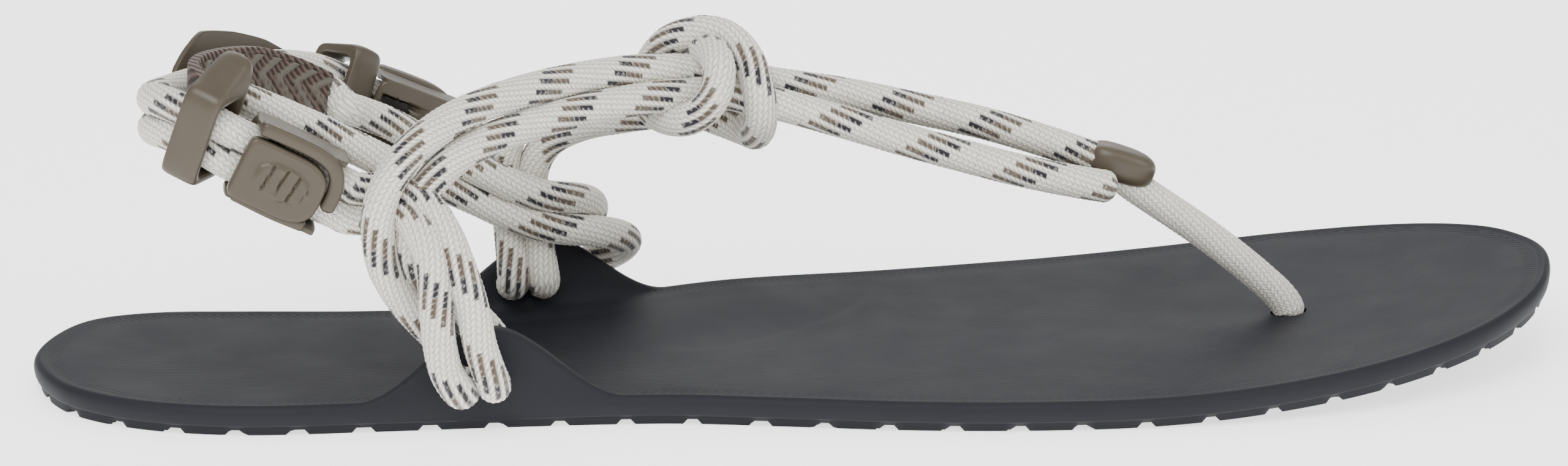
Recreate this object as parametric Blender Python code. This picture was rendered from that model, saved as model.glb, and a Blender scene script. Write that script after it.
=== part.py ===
"""A sport sandal for the right foot: a moulded rubber sole with two lace ears, and an upper of knotted
round cord that is held by a toe post, two side loops and a heel strap with sliding locks.

Everything is worked out in millimetres from the heel: x runs from heel to toe, y from the lateral
(little toe) side at -y to the medial (big toe) side at +y, and z up from the floor.
"""

import math
from collections import namedtuple

import bmesh
import bpy
import numpy as np
from mathutils import Matrix, Vector
from mathutils.geometry import delaunay_2d_cdt

# Units and fits
MM = 0.001
CLEARANCE = 0.3

# Sole
SOLE_LENGTH = 278.0
SOLE_WIDTH = 100.0
RIM_HEIGHT = 5.5
WALL_ROUND = 1.8
DISH_DEPTH = 1.0
DISH_MARGIN = 14.0
TOE_SPRING = 11.0
SPRING_START = 0.665
SPRING_POWER = 1.8
ARCH_RISE = 2.0
ARCH_PLACE = 0.45
ARCH_REACH = 0.10

# Tread
LUG_HEIGHT = 1.6
LUG_LENGTH = 8.8
LUG_GAP = 2.6
LUG_DEPTH = 7.0
TREAD_INSET = 1.2
TREAD_PITCH = 14.0
BAR_LENGTH = 11.0
BAR_WIDTH = 7.0
BAR_SLANT = 2.5

# Lace ears
EAR_THICKNESS = 4.2
CUTTER_REACH = 4.0
EAR_REACH = 23.5
HOLE_HEIGHT = 7.0
HOLE_WIDTH = 13.6
HOLE_SETBACK = 2.6
Ear = namedtuple("Ear", "name place side rise hole_lift")
LATERAL_EAR = Ear("lateral", 0.286, -1, 12.5, 3.6)
MEDIAL_EAR = Ear("medial", 0.334, 1, 13.2, 5.0)

# Sampling of the sole's edge
EAR_STEP = 3.2
SIDE_STEP = 9.0
END_STEP = 5.0
BED_STEP = 15.0

# Cord
CORD_DIAMETER = 6.0
CORD_TURN = math.radians(24.0)
CORD_REACH = 13.0
PAIR_SPACING = 5.2
PAIR_PLAY = 0.55

# Toe post and its connector
POST_DIAMETER = 5.6
POST_PLAY = 0.6
POST_HOLE_DEPTH = 2.2
POST_SHIFT = 1.0
POST_DROP = 2.1
CONNECTOR_LENGTH = 12.8
CONNECTOR_WIDTH = 8.6
CONNECTOR_HEIGHT = 6.4
CONNECTOR_TILT = math.radians(20.0)

# Heel hardware
LOCK_LENGTH = 17.8
LOCK_FLANGE = 1.1
LOCK_WEB = 1.3
LOCK_LIP = 2.1
LEVER_THICKNESS = 2.9
LEVER_OVERHANG = 1.1
RING_LENGTH = 6.6
RING_WALL = 1.6
RING_PLAY = 0.9
PAD_THICKNESS = 2.0
PAD_HEIGHT = 13.4
CHEVRON_RISE = 0.5
CHEVRON_PITCH = 4.6
CHEVRON_WIDTH = 2.0
PLATE_THICKNESS = 1.2
PLATE_HEIGHT = 13.0

# Half breadths of the sole at shares of its length, as shares of its width from the heel line
Station = namedtuple("Station", "along lateral medial")
HEEL_TIP = (0.0, 0.05)
TOE_TIP = (1.0, 0.08)
SOLE_STATIONS = (
    Station(0.011, -0.100, 0.190),
    Station(0.036, -0.205, 0.293),
    Station(0.079, -0.286, 0.330),
    Station(0.137, -0.330, 0.318),
    Station(0.216, -0.335, 0.293),
    Station(0.306, -0.335, 0.287),
    Station(0.396, -0.347, 0.318),
    Station(0.468, -0.390, 0.368),
    Station(0.540, -0.438, 0.427),
    Station(0.612, -0.468, 0.480),
    Station(0.691, -0.478, 0.519),
    Station(0.763, -0.470, 0.530),
    Station(0.835, -0.435, 0.517),
    Station(0.892, -0.375, 0.473),
    Station(0.935, -0.295, 0.409),
    Station(0.968, -0.190, 0.325),
    Station(0.989, -0.070, 0.225),
)

# Routes of the cord, in millimetres from the heel
POST_FOOT = (228.5, 2.0)
CONNECTOR_CENTRE = (197.0, 3.5, 35.4)
LATERAL_FIRST = (
    (195.0, -4.1, 32.8), (186.7, -4.1, 34.4), (175.5, -3.6, 37.0), (159.0, -2.0, 41.6),
    (146.0, 0.0, 45.4), (133.3, 1.5, 49.0), (124.1, 2.5, 50.8), (115.0, 0.5, 51.2),
    (103.7, -4.0, 50.9), (92.3, -10.0, 50.0), (81.5, -17.5, 48.6), (74.3, -23.5, 46.4),
    (69.4, -28.0, 42.8), (66.8, -30.4, 38.4), (66.0, -31.2, 33.3), (67.6, -30.2, 28.0),
    (72.4, -27.4, 22.8), (77.4, -25.1, 18.2), (80.8, -24.4, 13.6), (80.4, -24.4, 10.4),
    (79.8, -28.4, 9.3), (79.8, -33.0, 9.2), (79.7, -38.0, 9.4), (78.8, -41.0, 12.4),
    (77.2, -41.0, 17.5), (76.0, -39.8, 24.0), (74.2, -38.2, 30.2), (71.8, -34.8, 36.2),
    (68.2, -30.0, 40.6), (63.5, -27.6, 42.4),
)
LATERAL_SECOND = (
    (190.2, 3.8, 37.4), (182.0, 4.8, 40.2), (171.6, 6.0, 43.3), (160.5, 7.0, 45.9),
    (147.2, 7.6, 48.9), (134.3, 7.6, 51.2), (124.7, 6.8, 53.2), (115.6, 4.2, 55.0),
    (104.1, 0.2, 55.6), (89.3, -9.4, 55.4), (76.6, -19.4, 53.8), (68.8, -26.0, 50.8),
    (63.6, -30.4, 46.2), (60.9, -32.6, 41.0), (60.4, -33.0, 35.4), (61.6, -32.2, 29.2),
    (65.0, -30.2, 22.7), (69.4, -27.4, 17.0), (73.2, -25.0, 12.2), (74.7, -27.4, 9.2),
    (74.5, -33.0, 8.9), (74.3, -38.0, 8.6), (73.2, -41.0, 9.8), (71.2, -41.2, 13.4),
    (70.2, -40.8, 18.6), (69.8, -39.6, 25.0), (69.4, -38.4, 31.2), (68.2, -35.8, 35.4),
    (65.6, -31.6, 38.0), (61.2, -28.4, 38.4),
)
KNOT = (
    (107.0, 17.5, 43.6), (113.5, 17.0, 44.4), (119.5, 15.5, 44.8), (125.0, 14.0, 43.2),
    (129.2, 11.0, 42.0), (130.6, 6.0, 42.6), (130.8, 0.5, 46.6), (130.2, -0.6, 51.8),
    (128.8, 1.5, 56.8), (126.0, 4.0, 60.2), (122.4, 6.0, 61.4), (117.9, 8.0, 60.6),
    (114.2, 9.6, 58.2), (111.8, 11.2, 54.0), (111.2, 11.4, 49.8), (112.0, 8.0, 47.0),
    (114.2, 2.0, 46.6), (117.2, -3.2, 47.6), (120.2, -5.4, 50.0), (122.2, -5.4, 53.4),
    (122.8, -3.4, 57.0), (122.2, 1.5, 58.6), (120.6, 7.0, 57.6), (119.2, 11.5, 54.6),
)
MEDIAL_FIRST = (
    (124.3, 9.0, 50.0), (116.0, 13.4, 48.6), (106.0, 17.6, 47.6), (96.0, 21.6, 46.0),
    (89.6, 24.2, 42.0), (86.8, 25.2, 36.6), (86.4, 25.0, 30.6), (86.8, 23.2, 23.6),
    (87.2, 20.8, 16.6), (87.3, 20.2, 12.6), (87.3, 23.6, 11.0), (87.3, 28.0, 10.9),
    (87.7, 33.0, 11.2), (90.4, 36.0, 13.0), (95.2, 36.4, 15.6), (100.2, 34.4, 19.0),
    (102.6, 31.0, 22.4), (102.0, 26.2, 25.4), (98.6, 21.8, 27.4), (93.0, 19.0, 28.8),
    (86.4, 19.4, 31.2), (79.1, 21.6, 34.6), (71.5, 22.4, 38.6), (65.6, 21.2, 42.4),
    (60.4, 18.8, 45.2), (57.4, 16.8, 46.8),
)
MEDIAL_SECOND = (
    (124.3, 9.0, 48.0), (116.0, 13.4, 45.4), (108.4, 17.4, 43.6), (100.6, 21.2, 41.4),
    (94.6, 24.2, 37.8), (91.6, 25.2, 32.4), (91.4, 24.2, 26.0), (92.1, 21.6, 18.8),
    (92.9, 20.2, 13.0), (92.9, 23.6, 11.1), (92.9, 28.0, 11.0), (93.3, 33.2, 10.9),
    (97.0, 36.4, 10.8), (102.4, 36.6, 11.4), (107.0, 34.2, 13.8), (109.0, 30.6, 16.6),
    (107.2, 25.4, 19.2), (102.4, 21.2, 21.2), (94.4, 18.8, 22.8), (87.7, 19.4, 24.8),
    (80.6, 21.8, 27.8), (72.2, 22.6, 31.6), (64.4, 21.8, 35.6), (59.4, 19.8, 38.2),
    (56.0, 17.8, 39.8),
)
HEEL_PAIR = (
    (66.0, -27.8, 40.0), (57.0, -28.2, 40.2), (54.0, -28.3, 41.4), (45.0, -28.2, 46.0),
    (40.0, -28.25, 48.6), (35.6, -28.3, 50.9), (31.0, -26.4, 53.2), (25.6, -22.0, 54.6),
    (22.8, -15.4, 54.2), (24.4, -8.0, 53.4), (29.5, -0.5, 53.2), (36.0, 7.5, 53.0),
    (43.0, 15.0, 52.6), (50.2, 22.6, 50.4), (56.0, 28.6, 46.9), (60.4, 31.6, 43.8),
    (64.6, 32.1, 41.8), (69.0, 32.6, 39.8), (74.0, 33.15, 37.5), (78.6, 33.5, 35.4),
    (83.0, 31.0, 33.2), (87.0, 27.4, 30.6),
)
INNER_LATERAL = (
    (66.0, -25.4, 44.6), (59.3, -21.2, 47.4), (53.0, -18.8, 50.2), (45.7, -18.2, 53.6),
    (38.6, -17.6, 56.6), (33.6, -16.6, 58.0),
)
PAD_ROUTE = (
    (31.2, -15.6, 55.0), (29.7, -10.4, 55.8), (32.8, -3.6, 55.8), (39.3, 4.2, 54.6),
    (46.4, 11.4, 51.6), (53.6, 17.2, 48.0),
)
PLATE_ROUTE = (
    (26.4, 2.4, 55.9), (29.7, 6.6, 57.0), (33.0, 10.5, 56.8), (40.0, 18.0, 54.6), (47.2, 25.0, 51.2),
)

# Places of the heel pieces: their centre on the cord pair and the direction of the strap towards the toe
Seat = namedtuple("Seat", "name centre along inward saddle")
LOCK_SEATS = (
    Seat("lateral", (45.0, -28.2, 46.0), (18.0, -0.2, -9.3), (0.0, 1.0, 0.0), 0.0),
    Seat("medial", (69.0, 32.6, 39.8), (12.0, 1.5, -5.5), (0.13, -0.99, 0.0), 0.0),
)
RING_SEATS = (
    Seat("lateral", (31.0, -26.4, 53.2), (10.6, -5.6, -4.6), (0.46, 0.89, 0.0), 4.8),
    Seat("medial", (56.0, 28.6, 46.9), (10.2, 9.0, -6.8), (0.66, -0.75, 0.0), 1.8),
)

RUBBER = (0.072, 0.078, 0.092, 1.0)
CORD_WHITE = (0.74, 0.72, 0.66, 1.0)
POST_WHITE = (0.76, 0.74, 0.69, 1.0)
TAUPE = (0.26, 0.225, 0.175, 1.0)
WEBBING = (0.155, 0.112, 0.095, 1.0)


def smooth_step(value):
    """0 below 0, 1 above 1, and 3v^2 - 2v^3 between."""
    share = np.clip(value, 0.0, 1.0)
    return share * share * (3.0 - 2.0 * share)


def through(points, per_span, closed=False):
    """A Catmull-Rom curve through the points, with per_span samples from each point to the next."""
    points = np.asarray(points, float)
    if closed:
        padded = np.vstack([points[-1:], points, points[:2]])
    else:
        first = 2.0 * points[0] - points[1]
        last = 2.0 * points[-1] - points[-2]
        padded = np.vstack([first, points, last])
    share = (np.arange(per_span) / per_span)[:, None]
    curve = []
    for before, start, end, after in zip(padded, padded[1:], padded[2:], padded[3:]):
        slope_in = (end - before) / 2.0
        slope_out = (after - start) / 2.0
        curve.append(
            start * (2.0 * share**3 - 3.0 * share**2 + 1.0)
            + slope_in * (share**3 - 2.0 * share**2 + share)
            + end * (3.0 * share**2 - 2.0 * share**3)
            + slope_out * (share**3 - share**2)
        )
    curve = np.vstack(curve)
    return curve if closed else np.vstack([curve, points[-1:]])


def lengths_along(curve):
    """The length of the curve up to each of its points."""
    steps = np.linalg.norm(np.diff(curve, axis=0), axis=1)
    return np.concatenate([[0.0], np.cumsum(steps)])


# Materials and objects


def material(name, colour, roughness):
    """A Principled material of one colour."""
    made = bpy.data.materials.new(name)
    made.use_nodes = True
    shader = made.node_tree.nodes["Principled BSDF"]
    shader.inputs["Base Color"].default_value = colour
    shader.inputs["Roughness"].default_value = roughness
    made.diffuse_color = colour
    return made


def add_object(name, mesh, look=None):
    """An object in the scene for a mesh, with its material if it has one."""
    made = bpy.data.objects.new(name, mesh)
    bpy.context.scene.collection.objects.link(made)
    if look:
        mesh.materials.append(look)
    return made


def mesh_of(name, points, faces):
    """A mesh from points in millimetres."""
    mesh = bpy.data.meshes.new(name)
    mesh.from_pydata((np.asarray(points, float) * MM).tolist(), [], [list(face) for face in faces])
    mesh.update()
    return mesh


def turn_outwards(mesh):
    """Faces all pointing out of the closed shape."""
    work = bmesh.new()
    work.from_mesh(mesh)
    bmesh.ops.recalc_face_normals(work, faces=work.faces)
    work.to_mesh(mesh)
    work.free()


def shade(mesh, degrees=35.0):
    mesh.shade_smooth()
    mesh.set_sharp_from_angle(angle=math.radians(degrees))


def as_cutter(tool):
    """Keeps a shape that only cuts or joins out of the finished object."""
    tool.hide_render = True
    tool.display_type = "WIRE"


def combine(target, tool, operation, solver="EXACT"):
    """Joins or cuts the target with the tool by a Boolean."""
    as_cutter(tool)
    boolean = target.modifiers.new(f"{operation.lower()} {tool.name}", "BOOLEAN")
    boolean.operation = operation
    boolean.object = tool
    boolean.solver = solver


# Sole


def sole_outline():
    """The sole's outline seen from above, as a fine closed curve that runs along the lateral side first."""
    lateral = [(row.along, row.lateral) for row in SOLE_STATIONS]
    medial = [(row.along, row.medial) for row in reversed(SOLE_STATIONS)]
    shares = np.array([HEEL_TIP, *lateral, TOE_TIP, *medial])
    return through(shares * (SOLE_LENGTH, SOLE_WIDTH), 24, closed=True)


def toe_spring(x):
    """How far the sole curls up from the floor at x."""
    start = SPRING_START * SOLE_LENGTH
    return TOE_SPRING * np.clip((x - start) / (SOLE_LENGTH - start), 0.0, None) ** SPRING_POWER


def arch_rise(x, y):
    """The medial arch: a low swelling of the bed on the big toe side."""
    along = (x / SOLE_LENGTH - ARCH_PLACE) / ARCH_REACH
    return ARCH_RISE * np.exp(-(along**2)) * smooth_step(y / (0.3 * SOLE_WIDTH))


def rim_top(x, y):
    """The height of the bed's rim."""
    return RIM_HEIGHT + toe_spring(x) + arch_rise(x, y)


def ear_rise(x, y):
    """How far a lace ear stands above the rim: a rounded hump on each side of the instep."""
    place = np.where(y < 0.0, LATERAL_EAR.place, MEDIAL_EAR.place) * SOLE_LENGTH
    rise = np.where(y < 0.0, LATERAL_EAR.rise, MEDIAL_EAR.rise)
    return rise * smooth_step(1.0 - np.abs(x - place) / EAR_REACH)


def edge_samples(outline):
    """Lengths along the outline where the wall has a line, and the lug (or -1) that follows each."""
    closed = np.vstack([outline, outline[:1]])
    along = lengths_along(closed)
    count = round(along[-1] / (LUG_LENGTH + LUG_GAP))
    pitch = along[-1] / count
    lug_share = LUG_LENGTH / (LUG_LENGTH + LUG_GAP)
    samples = []
    for index in range(count):
        start = index * pitch
        for begin, end, lug in (
            (start, start + pitch * lug_share, index),
            (start + pitch * lug_share, start + pitch, -1),
        ):
            middle = 0.5 * (begin + end)
            x = np.interp(middle, along, closed[:, 0])
            y = np.interp(middle, along, closed[:, 1])
            step = SIDE_STEP
            if ear_rise(x, y) > 0.0:
                step = EAR_STEP
            elif not 0.1 < x / SOLE_LENGTH < 0.85:
                step = END_STEP
            pieces = math.ceil((end - begin) / step)
            for piece in range(pieces):
                samples.append((begin + (end - begin) * piece / pieces, lug))
    stops = np.array([sample[0] for sample in samples])
    lugs = [sample[1] for sample in samples]
    points = np.stack([np.interp(stops, along, closed[:, axis]) for axis in (0, 1)], axis=1)
    return points, lugs


def inward_normals(points):
    """Unit directions into the closed outline, which runs so that its inside is on the left."""
    tangent = np.roll(points, -1, axis=0) - np.roll(points, 1, axis=0)
    tangent /= np.linalg.norm(tangent, axis=1)[:, None]
    return np.stack([-tangent[:, 1], tangent[:, 0]], axis=1)


def wall_rings(points, inward):
    """Rings of the side wall from the tread's edge over the rim to the bed, as (xy, z) for each sample."""
    x, y = points[:, 0], points[:, 1]
    low = toe_spring(x) + LUG_HEIGHT
    top = rim_top(x, y)
    ear = ear_rise(x, y)
    raised = smooth_step(ear / (0.6 * LATERAL_EAR.rise))
    thick = WALL_ROUND + (EAR_THICKNESS - WALL_ROUND) * raised
    rows = (
        (TREAD_INSET, low),
        (0.35, low + 0.5),
        (0.0, low + 0.5 * (top - low) + 0.22 * ear),
        (0.15 + 0.5 * raised, top - 0.9 + 0.72 * ear),
        (0.55 + 0.7 * raised, top - 0.35 + 0.96 * ear),
        (0.5 * (0.55 + thick) + 0.5 * raised, top + ear),
        (thick + 0.2, top - 0.1 + 0.96 * ear),
        (thick + 0.7 + 0.2 * raised, top - 0.2 + 0.55 * ear),
        (thick + 1.4 + 0.6 * raised, top - 0.25 + 0.14 * ear),
        (thick + 3.4 + 1.6 * raised, top - 0.35),
    )
    return [(points + inward * np.reshape(offset * np.ones(len(x)), (-1, 1)), z) for offset, z in rows]


def bed_height(xy, outline):
    """The footbed: level with the rim at the edge and dished towards the middle."""
    gap = np.sqrt(((xy[:, None, :] - outline[None, :, :]) ** 2).sum(axis=2)).min(axis=1)
    dish = DISH_DEPTH * smooth_step((gap - WALL_ROUND) / DISH_MARGIN)
    return rim_top(xy[:, 0], xy[:, 1]) - 0.35 - dish


def tread_bars(outline):
    """Outlines of the chevron bars in the middle of the tread, clear of the lugs along its edge."""
    bars = []
    columns = np.arange(TREAD_PITCH, SOLE_LENGTH - TREAD_PITCH, TREAD_PITCH)
    half_rows = range(-4, 5)
    for column, x in enumerate(columns):
        for row in half_rows:
            y = (row + 0.5 * (column % 2)) * (BAR_LENGTH + LUG_GAP)
            slant = BAR_SLANT if row % 2 else -BAR_SLANT
            corners = np.array([
                (x - BAR_WIDTH / 2 - slant, y - BAR_LENGTH / 2),
                (x + BAR_WIDTH / 2 - slant, y - BAR_LENGTH / 2),
                (x + BAR_WIDTH / 2 + slant, y + BAR_LENGTH / 2),
                (x - BAR_WIDTH / 2 + slant, y + BAR_LENGTH / 2),
            ])
            gap = np.sqrt(((corners[:, None] - outline[None]) ** 2).sum(axis=2)).min(axis=1)
            if gap.min() > TREAD_INSET + LUG_DEPTH + LUG_GAP and inside(corners[0], outline):
                bars.append(corners)
    return bars


def inside(point, outline):
    """Whether a point lies within a closed outline, by the crossings of a line from it."""
    x, y = outline[:, 0] - point[0], outline[:, 1] - point[1]
    following_x, following_y = np.roll(x, -1), np.roll(y, -1)
    crosses = (y > 0.0) != (following_y > 0.0)
    span = np.where(crosses, following_y - y, 1.0)
    return np.count_nonzero(crosses & (x - y * (following_x - x) / span > 0.0)) % 2 == 1


def flat_fill(ring, extra_points, regions):
    """Triangles that fill a ring, through extra points, with each triangle's region or -1."""
    corners = [Vector(point) for point in ring]
    faces = [list(range(len(ring)))]
    for region in regions:
        faces.append(region)
    corners += [Vector(point) for point in extra_points]
    points, _, triangles, _, _, origins = delaunay_2d_cdt(corners, [], faces, 1, 1e-6, True)
    kept = [(triangle, max(origin) - 1) for triangle, origin in zip(triangles, origins) if origin]
    owners = [owner for _, owner in kept]
    return np.array([tuple(point) for point in points]), [triangle for triangle, _ in kept], owners


def lug_regions(lugs, ring, inward):
    """The lugs along the edge: for each, its samples on the ring and new points on its inner side."""
    extra, regions = [], []
    count = len(lugs)
    for lug in range(max(lugs) + 1):
        samples = [index for index in range(count) if lugs[index] == lug]
        samples.append((samples[-1] + 1) % count)
        inner = []
        for index in (samples[-1], samples[0]):
            inner.append(count + len(extra))
            extra.append(ring[index] + inward[index] * LUG_DEPTH)
        regions.append(samples + inner)
    return extra, regions


def build_sole(look):
    """The moulded sole: wall rings, a dished bed, a tread of lugs, two ears and the holes for the cord."""
    outline = sole_outline()
    edge, lugs = edge_samples(outline)
    inward = inward_normals(edge)
    rings = wall_rings(edge, inward)
    count = len(edge)
    points = [np.column_stack([xy, z]) for xy, z in rings]
    faces = []
    for ring in range(len(rings) - 1):
        for index in range(count):
            following = (index + 1) % count
            faces.append((
                ring * count + index,
                ring * count + following,
                (ring + 1) * count + following,
                (ring + 1) * count + index,
            ))
    start = len(rings) * count

    bed_ring = rings[-1][0]
    grid_x = np.arange(BED_STEP, SOLE_LENGTH, BED_STEP)
    grid_y = np.arange(-0.6 * SOLE_WIDTH, 0.6 * SOLE_WIDTH, BED_STEP)
    bed_points = [
        np.array((x, y)) for x in grid_x for y in grid_y
        if inside((x, y), bed_ring) and np.linalg.norm(bed_ring - (x, y), axis=1).min() > 0.35 * BED_STEP
    ]
    flat, triangles, _ = flat_fill(bed_ring, bed_points, [])
    height = bed_height(flat, outline)
    height[:count] = rings[-1][1]
    points.append(np.column_stack([flat[count:], height[count:]]))
    bed_index = [start - count + index if index < count else start + index - count for index in range(len(flat))]
    faces += [tuple(bed_index[corner] for corner in triangle) for triangle in triangles]
    start += len(flat) - count

    tread_ring = rings[0][0]
    extra, regions = lug_regions(lugs, tread_ring, inward)
    for bar in tread_bars(outline):
        regions.append([count + len(extra) + corner for corner in range(len(bar))])
        extra += list(bar)
    flat, triangles, owners = flat_fill(tread_ring, extra, regions)
    tread = np.column_stack([flat, toe_spring(flat[:, 0]) + LUG_HEIGHT])
    points.append(tread[count:])
    tread_index = [index if index < count else start + index - count for index in range(len(flat))]
    start += len(flat) - count
    tread_faces, lug_points = lugged_tread(tread, triangles, owners, tread_index, start)
    points.append(lug_points)
    faces += tread_faces

    mesh = mesh_of("sole", np.vstack(points), faces)
    turn_outwards(mesh)
    shade(mesh)
    sole = add_object("sole", mesh, look)
    for tool in ear_hole_tools() + [post_hole_tool()]:
        combine(sole, tool, "DIFFERENCE")
    return sole


def lugged_tread(tread, triangles, owners, tread_index, start):
    """The tread's faces, with each lug's triangles drawn down by the lug height and walls around them."""
    faces, lowered, lug_points = [], {}, []
    sides = set()
    for triangle, owner in zip(triangles, owners):
        corners = list(reversed(triangle))
        if owner < 0:
            faces.append(tuple(tread_index[corner] for corner in corners))
            continue
        for corner in corners:
            if (owner, corner) not in lowered:
                lowered[owner, corner] = start + len(lug_points)
                lug_points.append(tread[corner] - (0.0, 0.0, LUG_HEIGHT))
        faces.append(tuple(lowered[owner, corner] for corner in corners))
        for begin, end in zip(corners, corners[1:] + corners[:1]):
            if (owner, end, begin) in sides:
                sides.remove((owner, end, begin))
            else:
                sides.add((owner, begin, end))
    for owner, begin, end in sorted(sides):
        faces.append((tread_index[begin], tread_index[end], lowered[owner, end], lowered[owner, begin]))
    return faces, np.array(lug_points)


def side_of_outline(along, side):
    """The outline's y at a share of the length, on the lateral (-1) or the medial (1) side."""
    shares = [row.along for row in SOLE_STATIONS]
    edges = [row.lateral if side < 0 else row.medial for row in SOLE_STATIONS]
    return float(np.interp(along, shares, edges)) * SOLE_WIDTH


def ear_hole_tools():
    """A rounded slot through each ear, just above the rim."""
    tools = []
    for ear in (LATERAL_EAR, MEDIAL_EAR):
        x = ear.place * SOLE_LENGTH - HOLE_SETBACK
        y = side_of_outline(ear.place, ear.side)
        z = float(rim_top(x, y)) + ear.hole_lift
        half = 0.5 * (HOLE_WIDTH - HOLE_HEIGHT)
        radius = 0.5 * HOLE_HEIGHT
        section = []
        for centre, first in ((half, -90.0), (-half, 90.0)):
            for step in range(7):
                angle = math.radians(first + 30.0 * step)
                section.append((x + centre + radius * math.cos(angle), z + radius * math.sin(angle)))
        reach = EAR_THICKNESS + CUTTER_REACH
        points = [(px, y + offset, pz) for offset in (-reach, reach) for px, pz in section]
        tools.append(prism(f"{ear.name} ear slot", points, len(section)))
    return tools


def prism(name, points, count):
    """A solid between two outlines of count points each."""
    faces = [tuple(range(count)), tuple(range(2 * count - 1, count - 1, -1))]
    faces += [(i, (i + 1) % count, count + (i + 1) % count, count + i) for i in range(count)]
    mesh = mesh_of(name, points, faces)
    turn_outwards(mesh)
    return add_object(name, mesh)


def post_hole_tool():
    """The blind hole in the bed that takes the toe post."""
    radius = 0.5 * POST_DIAMETER + POST_PLAY
    top = float(rim_top(*POST_FOOT)) + 2.0
    circle = [2.0 * math.pi * step / 16 for step in range(16)]
    points = [
        (POST_FOOT[0] + radius * math.cos(angle), POST_FOOT[1] + radius * math.sin(angle), z)
        for z in (post_hole_floor(), top)
        for angle in circle
    ]
    return prism("post hole", points, len(circle))


def post_hole_floor():
    return float(rim_top(*POST_FOOT)) - DISH_DEPTH - POST_HOLE_DEPTH


# Cord


def thinned(curve, most_turn, most_step):
    """The points of a fine curve that a tube needs: closer together where it bends, and square at its start."""
    kept = [0, 4]
    turned = 0.0
    for index in range(5, len(curve) - 1):
        before = curve[index] - curve[index - 1]
        after = curve[index + 1] - curve[index]
        cosine = before @ after / (np.linalg.norm(before) * np.linalg.norm(after))
        turned += math.acos(min(1.0, max(-1.0, cosine)))
        if turned > most_turn or np.linalg.norm(curve[index] - curve[kept[-1]]) > most_step:
            kept.append(index)
            turned = 0.0
    return curve[kept + [len(curve) - 1]]


def tube(name, route, diameter):
    """A closed round tube along a smooth curve through the route's points."""
    curve = thinned(through(route, 12), CORD_TURN, CORD_REACH)
    data = bpy.data.curves.new(name, "CURVE")
    data.dimensions = "3D"
    data.bevel_depth = 0.5 * diameter * MM
    data.bevel_resolution = 2
    data.use_fill_caps = True
    spline = data.splines.new("POLY")
    spline.points.add(len(curve) - 1)
    for point, place in zip(spline.points, curve):
        point.co = (*(place * MM), 1.0)
    guide = bpy.data.objects.new(name, data)
    bpy.context.scene.collection.objects.link(guide)
    graph = bpy.context.evaluated_depsgraph_get()
    mesh = bpy.data.meshes.new_from_object(guide.evaluated_get(graph))
    bpy.data.objects.remove(guide)
    work = bmesh.new()
    work.from_mesh(mesh)
    bmesh.ops.remove_doubles(work, verts=work.verts, dist=1e-6)
    bmesh.ops.recalc_face_normals(work, faces=work.faces)
    work.to_mesh(mesh)
    work.free()
    mesh.materials.clear()
    return mesh


def pair_routes():
    """The heel strap's two cords: the pair's middle line moved up and down across the strap."""
    middle = np.array(HEEL_PAIR)
    tangent = np.gradient(middle, axis=0)
    tangent /= np.linalg.norm(tangent, axis=1)[:, None]
    up = np.array((0.0, 0.0, 1.0)) - tangent * tangent[:, 2:]
    up /= np.linalg.norm(up, axis=1)[:, None]
    return middle + 0.5 * PAIR_SPACING * up, middle - 0.5 * PAIR_SPACING * up


def build_harness(look):
    """The upper: every run of the cord, joined where the runs cross and in the knot."""
    upper, lower = pair_routes()
    runs = {
        "lateral first": LATERAL_FIRST,
        "lateral second": LATERAL_SECOND,
        "knot": KNOT,
        "medial first": MEDIAL_FIRST,
        "medial second": MEDIAL_SECOND,
        "heel upper": upper,
        "heel lower": lower,
        "inner lateral": INNER_LATERAL,
    }
    names = list(runs)
    tubes = [tube(name, runs[name], CORD_DIAMETER) for name in names]
    harness = add_object("cord_harness", tubes[0], look)
    for name, run in zip(names[1:], tubes[1:]):
        combine(harness, add_object(name, run), "UNION", "MANIFOLD")
    return harness


def build_toe_post(look):
    """The plain cord between the toes, from the connector down into its hole in the bed."""
    foot_x, foot_y = POST_FOOT
    low = post_hole_floor() + CLEARANCE
    bed = float(rim_top(foot_x, foot_y))
    under = connector_frame() @ Vector((POST_SHIFT * MM, 0.0, -(0.5 * CONNECTOR_HEIGHT + POST_DROP) * MM))
    below = connector_frame() @ Vector((POST_SHIFT * MM, 0.0, -(0.5 * CONNECTOR_HEIGHT + POST_DIAMETER) * MM))
    top = np.array(under) / MM
    route = (
        top,
        np.array(below) / MM,
        (foot_x - 0.30 * (foot_x - top[0]), foot_y, bed + 0.42 * (top[2] - bed)),
        (foot_x - 1.2, foot_y, bed + 4.0),
        (foot_x, foot_y, bed),
        (foot_x, foot_y, low),
    )
    mesh = tube("toe_post", route, POST_DIAMETER)
    shade(mesh)
    return add_object("toe_post", mesh, look)


# Hardware


def seated(seat):
    """The frame of a piece on the strap: X along the strap, Y inwards to the foot, Z across it."""
    along = Vector(seat.along).normalized()
    inward = Vector(seat.inward)
    inward = (inward - along * along.dot(inward)).normalized()
    across = along.cross(inward)
    frame = Matrix((along, inward, across)).transposed().to_4x4()
    frame.translation = Vector(seat.centre) * MM
    return frame


def rounded_box(name, size, centre, radius, frame, segments=2):
    """A box with rounded edges, given by its size and centre in the piece's own frame."""
    mesh = bpy.data.meshes.new(name)
    work = bmesh.new()
    bmesh.ops.create_cube(work, size=1.0)
    bmesh.ops.scale(work, vec=Vector(size) * MM, verts=work.verts)
    if radius > 0.0:
        bmesh.ops.bevel(
            work, geom=work.edges[:], offset=radius * MM, segments=segments, affect="EDGES", profile=0.5
        )
    bmesh.ops.translate(work, vec=Vector(centre) * MM, verts=work.verts)
    bmesh.ops.transform(work, matrix=frame, verts=work.verts)
    bmesh.ops.recalc_face_normals(work, faces=work.faces)
    work.to_mesh(mesh)
    work.free()
    return mesh


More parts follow.
